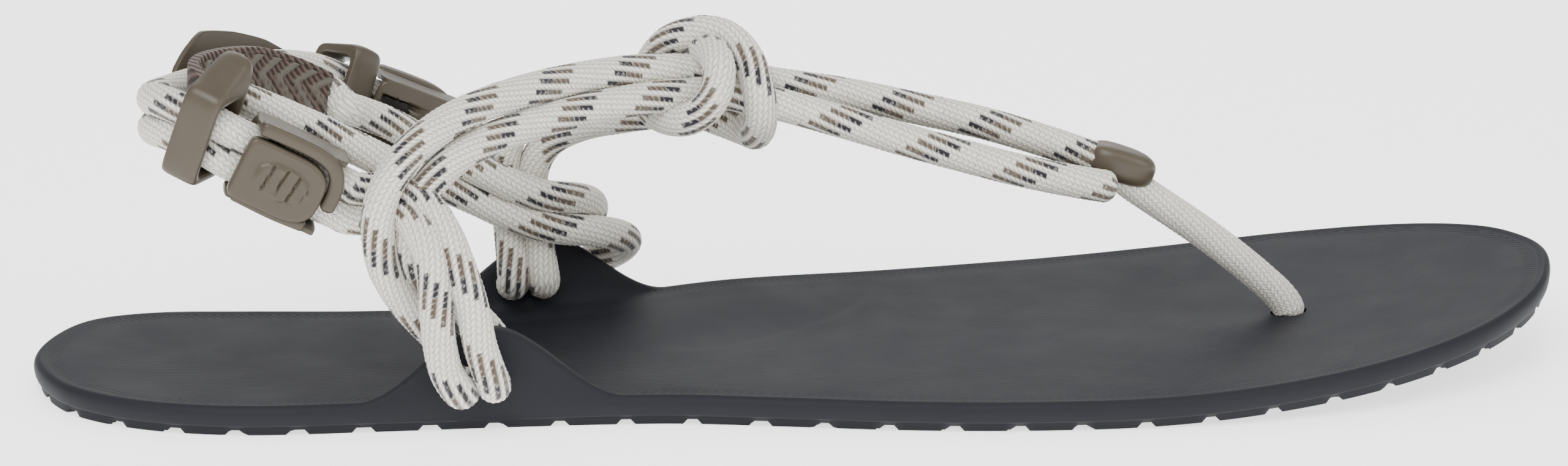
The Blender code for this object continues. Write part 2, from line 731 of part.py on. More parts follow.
def pair_slot(play):
    """Height across the strap and thickness of the room that a piece leaves for the cord pair."""
    return PAIR_SPACING + CORD_DIAMETER + 2.0 * play, CORD_DIAMETER + 2.0 * play


def build_lock(seat, look):
    """A cord lock: a channel open to the outside that the pair runs through, closed by a lever."""
    frame = seated(seat)
    slot_height, slot_depth = pair_slot(PAIR_PLAY)
    side = 1.0 if frame.to_3x3().col[2].z > 0.0 else -1.0
    body_height = slot_height + 2.0 * LOCK_FLANGE
    body_depth = slot_depth + LOCK_WEB + LOCK_LIP
    body_middle = 0.5 * (LOCK_WEB - LOCK_LIP)
    name = f"{seat.name}_lock_body"
    body = add_object(
        name, rounded_box(name, (LOCK_LENGTH, body_depth, body_height), (0.0, body_middle, 0.0), 0.9, frame), look
    )
    room = (LOCK_LENGTH + CUTTER_REACH, slot_depth + 2.0 * LOCK_LIP, slot_height)
    channel = add_object(
        f"{seat.name} lock channel", rounded_box("channel", room, (0.0, -LOCK_LIP, 0.0), 0.0, frame)
    )
    combine(body, channel, "DIFFERENCE")
    shade(body.data)

    lever_size = (LOCK_LENGTH - LEVER_OVERHANG, LEVER_THICKNESS, slot_height - 2.0 * CLEARANCE)
    lever_middle = -0.5 * slot_depth - 0.5 * LEVER_THICKNESS
    name = f"{seat.name}_lock_lever"
    lever = add_object(
        name,
        rounded_box(name, lever_size, (-0.5 * LEVER_OVERHANG * side, lever_middle, 0.0), 1.0, frame),
        look,
    )
    shade(lever.data)
    return body, lever


def build_ring(seat, look):
    """A square ring around the cord pair, with a raised saddle on its upper bar."""
    frame = seated(seat)
    slot_height, slot_depth = pair_slot(RING_PLAY)
    up = 1.0 if frame.to_3x3().col[2].z > 0.0 else -1.0
    height = slot_height + RING_WALL + seat.saddle
    middle = up * 0.5 * (seat.saddle - RING_WALL)
    name = f"{seat.name}_ring"
    size = (RING_LENGTH, slot_depth + 2.0 * RING_WALL, height)
    ring = add_object(name, rounded_box(name, size, (0.0, 0.0, middle), 1.0, frame), look)
    room = (RING_LENGTH + CUTTER_REACH, slot_depth, slot_height)
    window = add_object(f"{seat.name} ring window", rounded_box("window", room, (0.0, 0.0, 0.0), 0.0, frame))
    combine(ring, window, "DIFFERENCE")
    shade(ring.data)
    return ring


def band(route, heights, per_span):
    """A strip on edge along a route: its middle line, unit directions outwards and up across it, its heights."""
    middle = through(route, per_span)
    share = np.linspace(0.0, 1.0, len(middle))
    height = np.interp(share, np.linspace(0.0, 1.0, len(heights)), heights)
    tangent = np.gradient(middle, axis=0)
    level = tangent * (1.0, 1.0, 0.0)
    level /= np.linalg.norm(level, axis=1)[:, None]
    outward = np.stack([-level[:, 1], level[:, 0], np.zeros(len(level))], axis=1)
    tangent /= np.linalg.norm(tangent, axis=1)[:, None]
    up = np.cross(outward, tangent)
    up *= np.sign(up[:, 2:])
    return middle, outward, up, height


def strip_mesh(name, middle, outward, up, height, thickness):
    """A closed strip from its middle line, with square edges."""
    rows = []
    for across, through_wall in ((-0.5, -0.5), (-0.5, 0.5), (0.5, 0.5), (0.5, -0.5)):
        rows.append(middle + outward * (through_wall * thickness) + up * (across * height)[:, None])
    points = np.stack(rows, axis=1).reshape(-1, 3)
    count = len(middle)
    faces = [(0, 1, 2, 3), tuple(4 * (count - 1) + corner for corner in (3, 2, 1, 0))]
    for index in range(count - 1):
        for corner in range(4):
            following = (corner + 1) % 4
            faces.append((
                4 * index + corner, 4 * index + following,
                4 * (index + 1) + following, 4 * (index + 1) + corner,
            ))
    mesh = mesh_of(name, points, faces)
    turn_outwards(mesh)
    return mesh


def build_heel_pad(look):
    """The webbing pad inside the heel strap, with raised chevrons on the face that meets the heel."""
    heights = np.array((0.85, 1.0, 1.0, 1.0, 0.92, 0.76)) * PAD_HEIGHT
    middle, outward, up, height = band(PAD_ROUTE, heights, 4)
    pad = add_object("heel_pad", strip_mesh("heel_pad", middle, outward, up, height, PAD_THICKNESS), look)
    along = lengths_along(middle)
    inner = -(0.5 * PAD_THICKNESS + CHEVRON_RISE)
    start = CHEVRON_PITCH
    number = 0
    while start + 2.0 * CHEVRON_PITCH < along[-1]:
        rib = chevron(f"chevron {number}", start, along, middle, outward, up, height, inner)
        combine(pad, rib, "UNION")
        start += CHEVRON_PITCH
        number += 1
    shade(pad.data)
    return pad


def chevron(name, start, along, middle, outward, up, height, inner):
    """One rib in the shape of an arrow that points to the back of the heel."""
    def on_pad(distance, across, depth):
        place = [np.interp(distance, along, middle[:, axis]) for axis in range(3)]
        out = np.array([np.interp(distance, along, outward[:, axis]) for axis in range(3)])
        rise = np.array([np.interp(distance, along, up[:, axis]) for axis in range(3)])
        reach = np.interp(distance, along, height)
        return np.array(place) + out * depth + rise * (across * reach)

    outline = []
    for across, lead in ((0.40, CHEVRON_PITCH), (0.0, 0.0), (-0.40, CHEVRON_PITCH)):
        outline.append((start + lead, across))
    for across, lead in ((-0.40, CHEVRON_PITCH), (0.0, 0.0), (0.40, CHEVRON_PITCH)):
        outline.append((start + lead + CHEVRON_WIDTH, across))
    points = [on_pad(distance, across, depth) for depth in (inner, 0.0) for distance, across in outline]
    return prism(name, points, len(outline))


def build_heel_plate(look):
    """The thin guard outside the heel strap's cords."""
    heights = np.array((0.30, 0.85, 1.0, 0.92, 0.60)) * PLATE_HEIGHT
    middle, outward, up, height = band(PLATE_ROUTE, heights, 4)
    plate = add_object(
        "heel_plate", strip_mesh("heel_plate", middle, outward, up, height, PLATE_THICKNESS), look
    )
    shade(plate.data)
    return plate


def connector_frame():
    """The connector's place, tipped down towards the toe."""
    frame = Matrix.Rotation(CONNECTOR_TILT, 4, "Y")
    frame.translation = Vector(CONNECTOR_CENTRE) * MM
    return frame


def build_connector(look):
    """The bead at the top of the toe post, where both front straps end."""
    frame = connector_frame()
    size = (CONNECTOR_LENGTH, CONNECTOR_WIDTH, CONNECTOR_HEIGHT)
    connector = add_object("toe_connector", rounded_box("toe_connector", size, (0.0, 0.0, 0.0), 2.2, frame, 3), look)
    shade(connector.data)
    return connector


def main():
    for old in list(bpy.data.objects):
        bpy.data.objects.remove(old)
    rubber = material("sole rubber", RUBBER, 0.62)
    cord = material("braided cord", CORD_WHITE, 0.85)
    post = material("plain cord", POST_WHITE, 0.85)
    plastic = material("taupe plastic", TAUPE, 0.42)
    webbing = material("brown webbing", WEBBING, 0.8)

    pieces = [build_sole(rubber), build_harness(cord), build_toe_post(post), build_connector(plastic)]
    for seat in LOCK_SEATS:
        pieces += build_lock(seat, plastic)
    for seat in RING_SEATS:
        pieces.append(build_ring(seat, plastic))
    pieces += [build_heel_pad(webbing), build_heel_plate(plastic)]

    outline = sole_outline()
    centre = 0.5 * (outline.min(axis=0) + outline.max(axis=0))
    datum = bpy.data.objects.new("heel datum", None)
    bpy.context.scene.collection.objects.link(datum)
    datum.location = (-centre[0] * MM, -centre[1] * MM, 0.0)
    for made in bpy.data.objects:
        if made is not datum:
            made.parent = datum


main()
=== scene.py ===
"""The sport sandal dressed for rendering: braided cord, moulded sole, cord locks and the heel webbing.

Lengths are in millimetres from the heel until place() puts them in the frame: x runs from heel to toe, y
from the lateral side at -y to the medial side at +y, and z up from the floor.
"""

import math

import bpy
import numpy as np
from bpy.props import FloatProperty, FloatVectorProperty, PointerProperty
from mathutils import Matrix, Vector


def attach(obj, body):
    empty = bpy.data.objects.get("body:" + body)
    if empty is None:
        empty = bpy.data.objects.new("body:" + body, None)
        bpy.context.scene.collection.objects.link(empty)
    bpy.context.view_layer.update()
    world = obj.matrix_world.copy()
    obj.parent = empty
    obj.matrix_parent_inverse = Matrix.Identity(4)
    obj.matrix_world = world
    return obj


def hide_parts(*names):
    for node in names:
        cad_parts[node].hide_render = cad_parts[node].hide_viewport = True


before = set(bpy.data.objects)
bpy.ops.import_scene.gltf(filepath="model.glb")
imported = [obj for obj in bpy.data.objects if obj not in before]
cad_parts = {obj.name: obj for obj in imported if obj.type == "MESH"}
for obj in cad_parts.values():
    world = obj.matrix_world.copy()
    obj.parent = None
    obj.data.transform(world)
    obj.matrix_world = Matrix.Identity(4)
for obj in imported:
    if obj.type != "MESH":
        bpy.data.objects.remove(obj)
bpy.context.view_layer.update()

bl_info = {
    "name": "Sport sandal",
    "version": (1, 0, 0),
    "blender": (4, 5, 0),
    "location": "3D View > Sidebar > Sandal",
    "description": "Builds the parts of a sport sandal around its frame",
    "category": "Object",
}

ROOT = "root"
MM = 0.001
HEEL_TO_FRAME = (-139.0, -2.6, 0.0)

# Sole, as the frame has it
SOLE_LENGTH = 278.0
SOLE_WIDTH = 100.0
RIM_HEIGHT = 5.5
WALL_ROUND = 1.8
DISH_DEPTH = 1.0
DISH_MARGIN = 22.0
BED_MARGIN = 5.2
TOE_SPRING = 11.0
SPRING_START = 0.665
SPRING_POWER = 1.8
ARCH_RISE = 2.0
ARCH_PLACE = 0.45
ARCH_REACH = 0.10
LUG_HEIGHT = 1.6
LUG_LENGTH = 8.8
LUG_GAP = 2.6
LUG_DEPTH = 7.0
TREAD_INSET = 1.2
TREAD_PITCH = 14.0
BAR_LENGTH = 11.0
BAR_WIDTH = 7.0
BAR_SLANT = 2.5
EAR_THICKNESS = 4.2
EAR_REACH = 23.5
LATERAL_EAR = 0.286
MEDIAL_EAR = 0.334
LATERAL_RISE = 12.5
MEDIAL_RISE = 13.2
LATERAL_LIFT = 3.6
MEDIAL_LIFT = 5.0
HOLE_SETBACK = 2.6
HOLE_WIDTH = 13.6
HOLE_HEIGHT = 7.0
POST_FOOT = (228.5, 2.0)

# Outline of the sole: share along, lateral and medial half breadths as shares of the width
HEEL_TIP = (0.0, 0.05)
TOE_TIP = (1.0, 0.08)
SOLE_STATIONS = np.array([
    (0.011, -0.100, 0.190), (0.036, -0.205, 0.293), (0.079, -0.286, 0.330), (0.137, -0.330, 0.318),
    (0.216, -0.335, 0.293), (0.306, -0.335, 0.287), (0.396, -0.347, 0.318), (0.468, -0.390, 0.368),
    (0.540, -0.438, 0.427), (0.612, -0.468, 0.480), (0.691, -0.478, 0.519), (0.763, -0.470, 0.530),
    (0.835, -0.435, 0.517), (0.892, -0.375, 0.473), (0.935, -0.295, 0.409), (0.968, -0.190, 0.325),
    (0.989, -0.070, 0.225),
])
ARCH_PATCH_EDGE = np.array([
    (84.0, 14.0), (98.0, 2.0), (115.0, -0.5), (132.0, 5.0), (151.0, 22.0), (160.0, 47.0),
])

# Routes of the cord
PAIR_SPACING = 5.2
CONNECTOR_CENTRE = (197.0, 3.5, 35.4)
CONNECTOR_TILT = math.radians(20.0)
LATERAL_FIRST = (
    (195.0, -4.1, 32.8), (186.7, -4.1, 34.4), (175.5, -3.6, 37.0), (159.0, -2.0, 41.6),
    (146.0, 0.0, 45.4), (133.3, 1.5, 49.0), (124.1, 2.5, 50.8), (115.0, 0.5, 51.2),
    (103.7, -4.0, 50.9), (92.3, -10.0, 50.0), (81.5, -17.5, 48.6), (74.3, -23.5, 46.4),
    (69.4, -28.0, 42.8), (66.8, -30.4, 38.4), (66.0, -31.2, 33.3), (67.6, -30.2, 28.0),
    (72.4, -27.4, 22.8), (77.4, -25.1, 18.2), (80.8, -24.4, 13.6), (80.4, -24.4, 10.4),
    (79.8, -28.4, 9.3), (79.8, -33.0, 9.2), (79.7, -38.0, 9.4), (78.8, -41.0, 12.4),
    (77.2, -41.0, 17.5), (76.0, -39.8, 24.0), (74.2, -38.2, 30.2), (71.8, -34.8, 36.2),
    (68.2, -30.0, 40.6), (63.5, -27.6, 42.4),
)
LATERAL_SECOND = (
    (190.2, 3.8, 37.4), (182.0, 4.8, 40.2), (171.6, 6.0, 43.3), (160.5, 7.0, 45.9),
    (147.2, 7.6, 48.9), (134.3, 7.6, 51.2), (124.7, 6.8, 53.2), (115.6, 4.2, 55.0),
    (104.1, 0.2, 55.6), (89.3, -9.4, 55.4), (76.6, -19.4, 53.8), (68.8, -26.0, 50.8),
    (63.6, -30.4, 46.2), (60.9, -32.6, 41.0), (60.4, -33.0, 35.4), (61.6, -32.2, 29.2),
    (65.0, -30.2, 22.7), (69.4, -27.4, 17.0), (73.2, -25.0, 12.2), (74.7, -27.4, 9.2),
    (74.5, -33.0, 8.9), (74.3, -38.0, 8.6), (73.2, -41.0, 9.8), (71.2, -41.2, 13.4),
    (70.2, -40.8, 18.6), (69.8, -39.6, 25.0), (69.4, -38.4, 31.2), (68.2, -35.8, 35.4),
    (65.6, -31.6, 38.0), (61.2, -28.4, 38.4),
)
KNOT = (
    (107.0, 17.5, 43.6), (113.5, 17.0, 44.4), (119.5, 15.5, 44.8), (125.0, 14.0, 43.2),
    (129.2, 11.0, 42.0), (130.6, 6.0, 42.6), (130.8, 0.5, 46.6), (130.2, -0.6, 51.8),
    (128.8, 1.5, 56.8), (126.0, 4.0, 60.2), (122.4, 6.0, 61.4), (117.9, 8.0, 60.6),
    (114.2, 9.6, 58.2), (111.8, 11.2, 54.0), (111.2, 11.4, 49.8), (112.0, 8.0, 47.0),
    (114.2, 2.0, 46.6), (117.2, -3.2, 47.6), (120.2, -5.4, 50.0), (122.2, -5.4, 53.4),
    (122.8, -3.4, 57.0), (122.2, 1.5, 58.6), (120.6, 7.0, 57.6), (119.2, 11.5, 54.6),
)
MEDIAL_FIRST = (
    (124.3, 9.0, 50.0), (116.0, 13.4, 48.6), (106.0, 17.6, 47.6), (96.0, 21.6, 46.0),
    (89.6, 24.2, 42.0), (86.8, 25.2, 36.6), (86.4, 25.0, 30.6), (86.8, 23.2, 23.6),
    (87.2, 20.8, 16.6), (87.3, 20.2, 12.6), (87.3, 23.6, 11.0), (87.3, 28.0, 10.9),
    (87.7, 33.0, 11.2), (90.4, 36.0, 13.0), (95.2, 36.4, 15.6), (100.2, 34.4, 19.0),
    (102.6, 31.0, 22.4), (102.0, 26.2, 25.4), (98.6, 21.8, 27.4), (93.0, 19.0, 28.8),
    (86.4, 19.4, 31.2), (79.1, 21.6, 34.6), (71.5, 22.4, 38.6), (65.6, 21.2, 42.4),
    (60.4, 18.8, 45.2), (57.4, 16.8, 46.8),
)
MEDIAL_SECOND = (
    (124.3, 9.0, 48.0), (116.0, 13.4, 45.4), (108.4, 17.4, 43.6), (100.6, 21.2, 41.4),
    (94.6, 24.2, 37.8), (91.6, 25.2, 32.4), (91.4, 24.2, 26.0), (92.1, 21.6, 18.8),
    (92.9, 20.2, 13.0), (92.9, 23.6, 11.1), (92.9, 28.0, 11.0), (93.3, 33.2, 10.9),
    (97.0, 36.4, 10.8), (102.4, 36.6, 11.4), (107.0, 34.2, 13.8), (109.0, 30.6, 16.6),
    (107.2, 25.4, 19.2), (102.4, 21.2, 21.2), (94.4, 18.8, 22.8), (87.7, 19.4, 24.8),
    (80.6, 21.8, 27.8), (72.2, 22.6, 31.6), (64.4, 21.8, 35.6), (59.4, 19.8, 38.2),
    (56.0, 17.8, 39.8),
)
HEEL_PAIR = (
    (66.0, -27.8, 40.0), (57.0, -28.2, 40.2), (54.0, -28.3, 41.4), (45.0, -28.2, 46.0),
    (40.0, -28.25, 48.6), (35.6, -28.3, 50.9), (31.0, -26.4, 53.2), (25.6, -22.0, 54.6),
    (22.8, -15.4, 54.2), (24.4, -8.0, 53.4), (29.5, -0.5, 53.2), (36.0, 7.5, 53.0),
    (43.0, 15.0, 52.6), (50.2, 22.6, 50.4), (56.0, 28.6, 46.9), (60.4, 31.6, 43.8),
    (64.6, 32.1, 41.8), (69.0, 32.6, 39.8), (74.0, 33.15, 37.5), (78.6, 33.5, 35.4),
    (83.0, 31.0, 33.2), (87.0, 27.4, 30.6),
)
INNER_LATERAL = (
    (66.0, -25.4, 44.6), (59.3, -21.2, 47.4), (53.0, -18.8, 50.2), (45.7, -18.2, 53.6),
    (38.6, -17.6, 56.6), (33.6, -16.6, 58.0),
)
PAD_ROUTE = (
    (31.2, -15.6, 55.0), (29.7, -10.4, 55.8), (32.8, -3.6, 55.8), (39.3, 4.2, 54.6),
    (46.4, 11.4, 51.6), (53.6, 17.2, 48.0),
)
PLATE_ROUTE = (
    (26.4, 2.4, 55.9), (29.7, 6.6, 57.0), (33.0, 10.5, 56.8), (40.0, 18.0, 54.6), (47.2, 25.0, 51.2),
)
# Ends that run on out of sight: into the bead, and behind the webbing
INTO_BEAD = ((194.0, 3.7, 36.0),)
FRONT_TUCK = ((55.4, 19.2, 48.4), (52.4, 21.8, 50.6))
REAR_TUCK = ((53.2, 18.0, 43.2), (51.0, 18.6, 46.8))

# Seats of the heel pieces: centre on the cord pair, direction of the strap, direction inwards to the foot
SEATS = {
    "lateral_lock": ((45.0, -28.2, 46.0), (18.0, -0.2, -9.3), (0.0, 1.0, 0.0)),
    "medial_lock": ((69.0, 32.6, 39.8), (12.0, 1.5, -5.5), (0.13, -0.99, 0.0)),
    "lateral_ring": ((31.0, -26.4, 53.2), (10.6, -5.6, -4.6), (0.46, 0.89, 0.0)),
    "medial_ring": ((56.0, 28.6, 46.9), (10.2, 9.0, -6.8), (0.66, -0.75, 0.0)),
}
LOCK_LENGTH = 17.8
LOCK_HEIGHT = 14.5
PAIR_DEPTH = 7.1


# Sizes and colours that a user would change


def length_property(name, description, default):
    return FloatProperty(name=name, description=description, default=default, unit="LENGTH")


def colour_property(name, description, default):
    return FloatVectorProperty(name=name, description=description, default=default, subtype="COLOR")


class SandalCordSettings(bpy.types.PropertyGroup):
    diameter: length_property("Cord diameter", "Thickness of the braided cord", 0.006)
    grain: length_property("Braid grain", "Length of one stroke of the braid", 0.00105)
    relief: length_property("Braid relief", "Height of the braid's strokes", 0.00022)
    colour: colour_property("Cord", "Colour of the cord", (0.90, 0.86, 0.765))
    navy: colour_property("Dark fleck", "Colour of the dark strands", (0.018, 0.017, 0.025))
    brown: colour_property("Brown fleck", "Colour of the brown strands", (0.120, 0.090, 0.064))


class SandalSoleSettings(bpy.types.PropertyGroup):
    colour: colour_property("Rubber", "Colour of the sole", (0.0124, 0.0130, 0.0168))
    line_spacing: length_property("Line spacing", "Distance between the footbed's fine lines", 0.0011)


class SandalTrimSettings(bpy.types.PropertyGroup):
    colour: colour_property("Plastic", "Colour of locks, keepers, guard and bead", (0.055, 0.0435, 0.0285))
    webbing: colour_property("Webbing", "Colour of the heel webbing", (0.085, 0.056, 0.044))
    chevron: colour_property("Chevrons", "Colour of the raised chevrons", (0.10, 0.092, 0.074))


class SandalStageSettings(bpy.types.PropertyGroup):
    floor: colour_property("Floor", "Colour of the floor", (0.9, 0.9, 0.9))
    floor_glow: FloatProperty(name="Floor glow", description="Light that the pale floor adds", default=1.6)
    key_power: FloatProperty(name="Key light", description="Power of the main light in watts", default=18.0)


# Curves and meshes


def smooth_step(value):
    """0 below 0, 1 above 1, and 3v^2 - 2v^3 between."""
    share = np.clip(value, 0.0, 1.0)
    return share * share * (3.0 - 2.0 * share)


def soft_edge(depth, softness):
    """0 outside and 1 inside an edge, by a smooth step as wide as the softness."""
    return smooth_step(depth / softness + 0.5)


def end_rounding(to_end, reach, least=0.0):
    """A quarter circle over the last stretch: sqrt(1 - (1 - distance / reach)^2), at least sqrt(least)."""
    return np.sqrt(np.clip(1.0 - (1.0 - np.clip(to_end / reach, 0.0, 1.0)) ** 2, least, 1.0))


def full_turn(count):
    return np.linspace(0.0, 2.0 * math.pi, count, endpoint=False)


def signed_power(value, power):
    return np.sign(value) * np.abs(value) ** power


def through(points, per_span, closed=False):
    """A Catmull-Rom curve: each span mixes its two ends and their slopes by the cubic Hermite weights."""
    points = np.asarray(points, float)
    if closed:
        padded = np.concatenate([points[-1:], points, points[:2]])
    else:
        padded = np.concatenate([2.0 * points[:1] - points[1:2], points, 2.0 * points[-1:] - points[-2:-1]])
    shape = (1, -1) + (1,) * (points.ndim - 1)
    share = (np.arange(per_span) / per_span).reshape(shape)
    before, start, end, after = (padded[i:len(padded) - 3 + i][:, None] for i in range(4))
    spans = (
        start * (2.0 * share**3 - 3.0 * share**2 + 1.0)
        + (end - before) / 2.0 * (share**3 - 2.0 * share**2 + share)
        + end * (3.0 * share**2 - 2.0 * share**3)
        + (after - start) / 2.0 * (share**3 - share**2)
    )
    curve = spans.reshape((-1,) + points.shape[1:])
    return curve if closed else np.concatenate([curve, points[-1:]])


def lengths_along(curve):
    """The length of the curve up to each of its points."""
    return np.concatenate([[0.0], np.cumsum(np.linalg.norm(np.diff(curve, axis=0), axis=1))])


def evenly(curve, count):
    """The curve at count points, the same distance apart."""
    along = lengths_along(curve)
    stops = np.linspace(0.0, along[-1], count)
    return np.stack([np.interp(stops, along, curve[:, axis]) for axis in range(curve.shape[1])], axis=1)


def unit(vectors):
    return vectors / np.linalg.norm(vectors, axis=-1, keepdims=True)


def place(points):
    """Millimetres from the heel to metres in the frame."""
    return (np.asarray(points, float) + HEEL_TO_FRAME) * MM


def grid_faces(index):
    """Quads between neighbouring entries of a grid of vertex numbers."""
    return np.stack([index[:-1, :-1], index[1:, :-1], index[1:, 1:], index[:-1, 1:]], axis=-1).reshape(-1, 4)


def ring_index(rows, count):
    """Vertex numbers of rings of count points, row by row, with each ring's first one again at its end."""
    index = np.arange(rows * count).reshape(rows, count)
    return np.hstack([index, index[:, :1]])


def closed_faces(rows, count):
    """Quads between rings, and at each end a fan to one of the two points that come after the rings."""
    index = ring_index(rows, count)
    tip = np.full(count + 1, rows * count)
    return np.vstack([
        grid_faces(index),
        grid_faces(np.vstack([tip, index[0]])),
        grid_faces(np.vstack([index[-1], tip + 1])),
    ])


def make_piece(name, points, faces, look, replaced=(), smooth_below=None):
    """An object on the frame, in place of the solids that it stands for, from points in millimetres and
    quads. A quad with a repeated corner becomes a triangle. Edges over smooth_below degrees stay sharp."""
    mesh = bpy.data.meshes.new(name)
    clean = []
    for face in np.asarray(faces).tolist():
        corners = [corner for place_in_face, corner in enumerate(face) if corner != face[place_in_face - 1]]
        if len(set(corners)) >= 3:
            clean.append(corners)
    mesh.from_pydata(place(points).tolist(), [], clean)
    mesh.update()
    mesh.shade_smooth()
    if smooth_below is not None:
        mesh.set_sharp_from_angle(angle=math.radians(smooth_below))
    mesh.materials.append(look)
    piece = bpy.data.objects.new(name, mesh)
    bpy.context.scene.collection.objects.link(piece)
    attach(piece, ROOT)
    if replaced:
        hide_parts(*replaced)
    return piece


def give_attribute(piece, name, values):
    """A number for each vertex, which the material reads by its name."""
    made = piece.data.attributes.new(name, "FLOAT", "POINT")
    made.data.foreach_set("value", np.asarray(values, np.float32).ravel())


def carried_frames(curve):
    """Two unit normals along a curve, turned as little as possible from one point to the next."""
    tangent = unit(np.gradient(curve, axis=0))
    helper = np.array((0.0, 0.0, 1.0)) if abs(tangent[0, 2]) < 0.9 else np.array((0.0, 1.0, 0.0))
    normal = unit(helper - tangent[0] * (helper @ tangent[0]))
    normals = [normal]
    for direction in tangent[1:]:
        normal = unit(normal - direction * (normal @ direction))
        normals.append(normal)
    normals = np.array(normals)
    return normals, np.cross(tangent, normals)


# Materials

# A wave texture's scale is this over the length of one wave in metres
WAVE_PERIOD = 0.314


def feed(tree, made, sources):
    """Links a socket or sets a value on each input of a node, by (input name or number, source) pairs."""
    for name, source in sources:
        if isinstance(source, bpy.types.NodeSocket):
            tree.links.new(source, made.inputs[name])
        else:
            made.inputs[name].default_value = source


def start_material(name, roughness, specular):
    """A Principled material, with its node tree and shader at hand."""
    made = bpy.data.materials.new(name)
    made.use_nodes = True
    tree = made.node_tree
    shader = tree.nodes["Principled BSDF"]
    feed(tree, shader, [("Roughness", roughness), ("Specular IOR Level", specular)])
    return made, tree, shader


def node(tree, kind, sources=(), **settings):
    """A node with its settings and with fed inputs."""
    made = tree.nodes.new(kind)
    for key, value in settings.items():
        setattr(made, key, value)
    feed(tree, made, sources)
    return made


def object_coordinates(tree):
    return node(tree, "ShaderNodeTexCoord").outputs["Object"]


def attribute(tree, name):
    return node(tree, "ShaderNodeAttribute", attribute_name=name).outputs["Fac"]


def noise(tree, scale, detail=3.0, roughness=0.5):
    """Noise on the object's own coordinates, scale in cells per metre."""
    sources = [
        ("Vector", object_coordinates(tree)), ("Scale", scale), ("Detail", detail), ("Roughness", roughness),
    ]
    return node(tree, "ShaderNodeTexNoise", sources).outputs["Fac"]


def waves(tree, vector, scale, distortion, detail=2.0, direction="DIAGONAL"):
    """Soft bands from 0 to 1 across one direction of the coordinates."""
    sources = [("Vector", vector), ("Scale", scale), ("Distortion", distortion), ("Detail", detail)]
    made = node(tree, "ShaderNodeTexWave", sources, wave_type="BANDS", bands_direction=direction)
    return made.outputs["Fac"]


def mix_colour(tree, factor, first, second, blend="MIX"):
    """Colour between two others, by a factor."""
    sources = [(0, factor), (6, first), (7, second)]
    return node(tree, "ShaderNodeMix", sources, data_type="RGBA", blend_type=blend).outputs[2]


def maths(tree, operation, first, second):
    return node(tree, "ShaderNodeMath", [(0, first), (1, second)], operation=operation).outputs[0]


def spread(tree, value, low, high):
    """The value moved from the range 0 to 1 to the range low to high."""
    sources = [("Value", value), ("To Min", low), ("To Max", high)]
    return node(tree, "ShaderNodeMapRange", sources).outputs["Result"]


def bump(tree, shader, layers):
    """Stacks heights into the shader's normal: each layer is height, strength and distance in metres."""
    normal = None
    for height, strength, distance in layers:
        sources = [("Height", height), ("Strength", strength), ("Distance", distance)]
        if normal:
            sources.append(("Normal", normal))
        normal = node(tree, "ShaderNodeBump", sources).outputs["Normal"]
    feed(tree, shader, [("Normal", normal)])


def shaded(colour, factor):
    """A colour made lighter or darker, with full opacity."""
    return (*(min(1.0, channel * factor) for channel in colour[:3]), 1.0)


def cord_material(name, settings, with_flecks):
    """Off-white braid with painted shade in the creases between strokes, with or without navy and brown
    strands.
    """
    made, tree, shader = start_material(name, 0.82, 0.25)
    mottle = noise(tree, 420.0)
    base = mix_colour(tree, mottle, shaded(settings.colour, 0.90), shaded(settings.colour, 1.08))
    if with_flecks:
        for label, colour in (("navy", settings.navy), ("brown", settings.brown)):
            base = mix_colour(tree, attribute(tree, label), base, shaded(colour, 1.0))
    # Painted shade: where the braid's stroke height is low, in its creases, the colour is multiplied down to
    # 0.22.
    crease = spread(tree, attribute(tree, "stroke"), 0.22, 1.0)
    crease_shade = node(tree, "ShaderNodeCombineColor", [(channel, crease) for channel in ("Red", "Green", "Blue")])
    base = mix_colour(tree, 1.0, base, crease_shade.outputs["Color"], "MULTIPLY")
    feed(tree, shader, [("Base Color", base), ("Sheen Weight", 0.25), ("Sheen Roughness", 0.5)])
    threads = waves(tree, node(tree, "ShaderNodeUVMap", uv_map="cord").outputs["UV"], 9.0, 0.6, 1.0)
    bump(tree, shader, [(threads, 0.35, 0.0001), (noise(tree, 5200.0, 2.0), 0.35, 0.00008)])
    return made


def rubber_material(settings):
    """Dark moulded rubber, a little cloudy in colour and gloss and darker low on the wall and on the tread:
    fine lines along the bed, a woven band at the rim, and a fine grain."""
    made, tree, shader = start_material("sole rubber", 0.62, 0.16)
    cloudy = noise(tree, 38.0, 4.0, 0.6)
    base = mix_colour(tree, cloudy, shaded(settings.colour, 0.88), shaded(settings.colour, 1.12))
    low_down = spread(tree, attribute(tree, "edge"), 0.0, 0.45)
    base = mix_colour(tree, low_down, base, shaded(settings.colour, 0.45))
    gloss = spread(tree, noise(tree, 90.0), 0.56, 0.70)
    feed(tree, shader, [("Base Color", base), ("Roughness", gloss)])
    where = object_coordinates(tree)
    lines = waves(tree, where, WAVE_PERIOD / settings.line_spacing, 0.15, direction="Y")
    weave = waves(tree, where, 420.0, 0.3)
    bed_lines = maths(tree, "MULTIPLY", lines, attribute(tree, "bed"))
    rim_weave = maths(tree, "MULTIPLY", weave, attribute(tree, "rim"))
    grain = noise(tree, 2400.0, 2.0)
    bump(tree, shader, [(bed_lines, 0.30, 0.00010), (rim_weave, 0.6, 0.00016), (grain, 0.25, 0.00006)])
    return made


def plastic_material(name, colour):
    """Satin moulded plastic with faint flow marks and a fine grain, with painted shade, nearly black, inside
    a pocket.
    """
    made, tree, shader = start_material(name, 0.40, 0.38)
    flow = noise(tree, 120.0, 3.0, 0.6)
    moulded = mix_colour(tree, flow, shaded(colour, 0.92), shaded(colour, 1.10))
    # Painted shade: inside the pocket the plastic is darkened to 0.12 of its colour, as the recess's shadow.
    pocket_shaded = mix_colour(tree, attribute(tree, "pocket"), moulded, shaded(colour, 0.12))
    feed(tree, shader, [
        ("Base Color", pocket_shaded), ("Roughness", spread(tree, noise(tree, 300.0), 0.32, 0.46)),
        ("Subsurface Weight", 0.05), ("Subsurface Radius", (0.0012, 0.0009, 0.0006)),
    ])
    bump(tree, shader, [(noise(tree, 1800.0, 2.0), 0.12, 0.00006)])
    return made


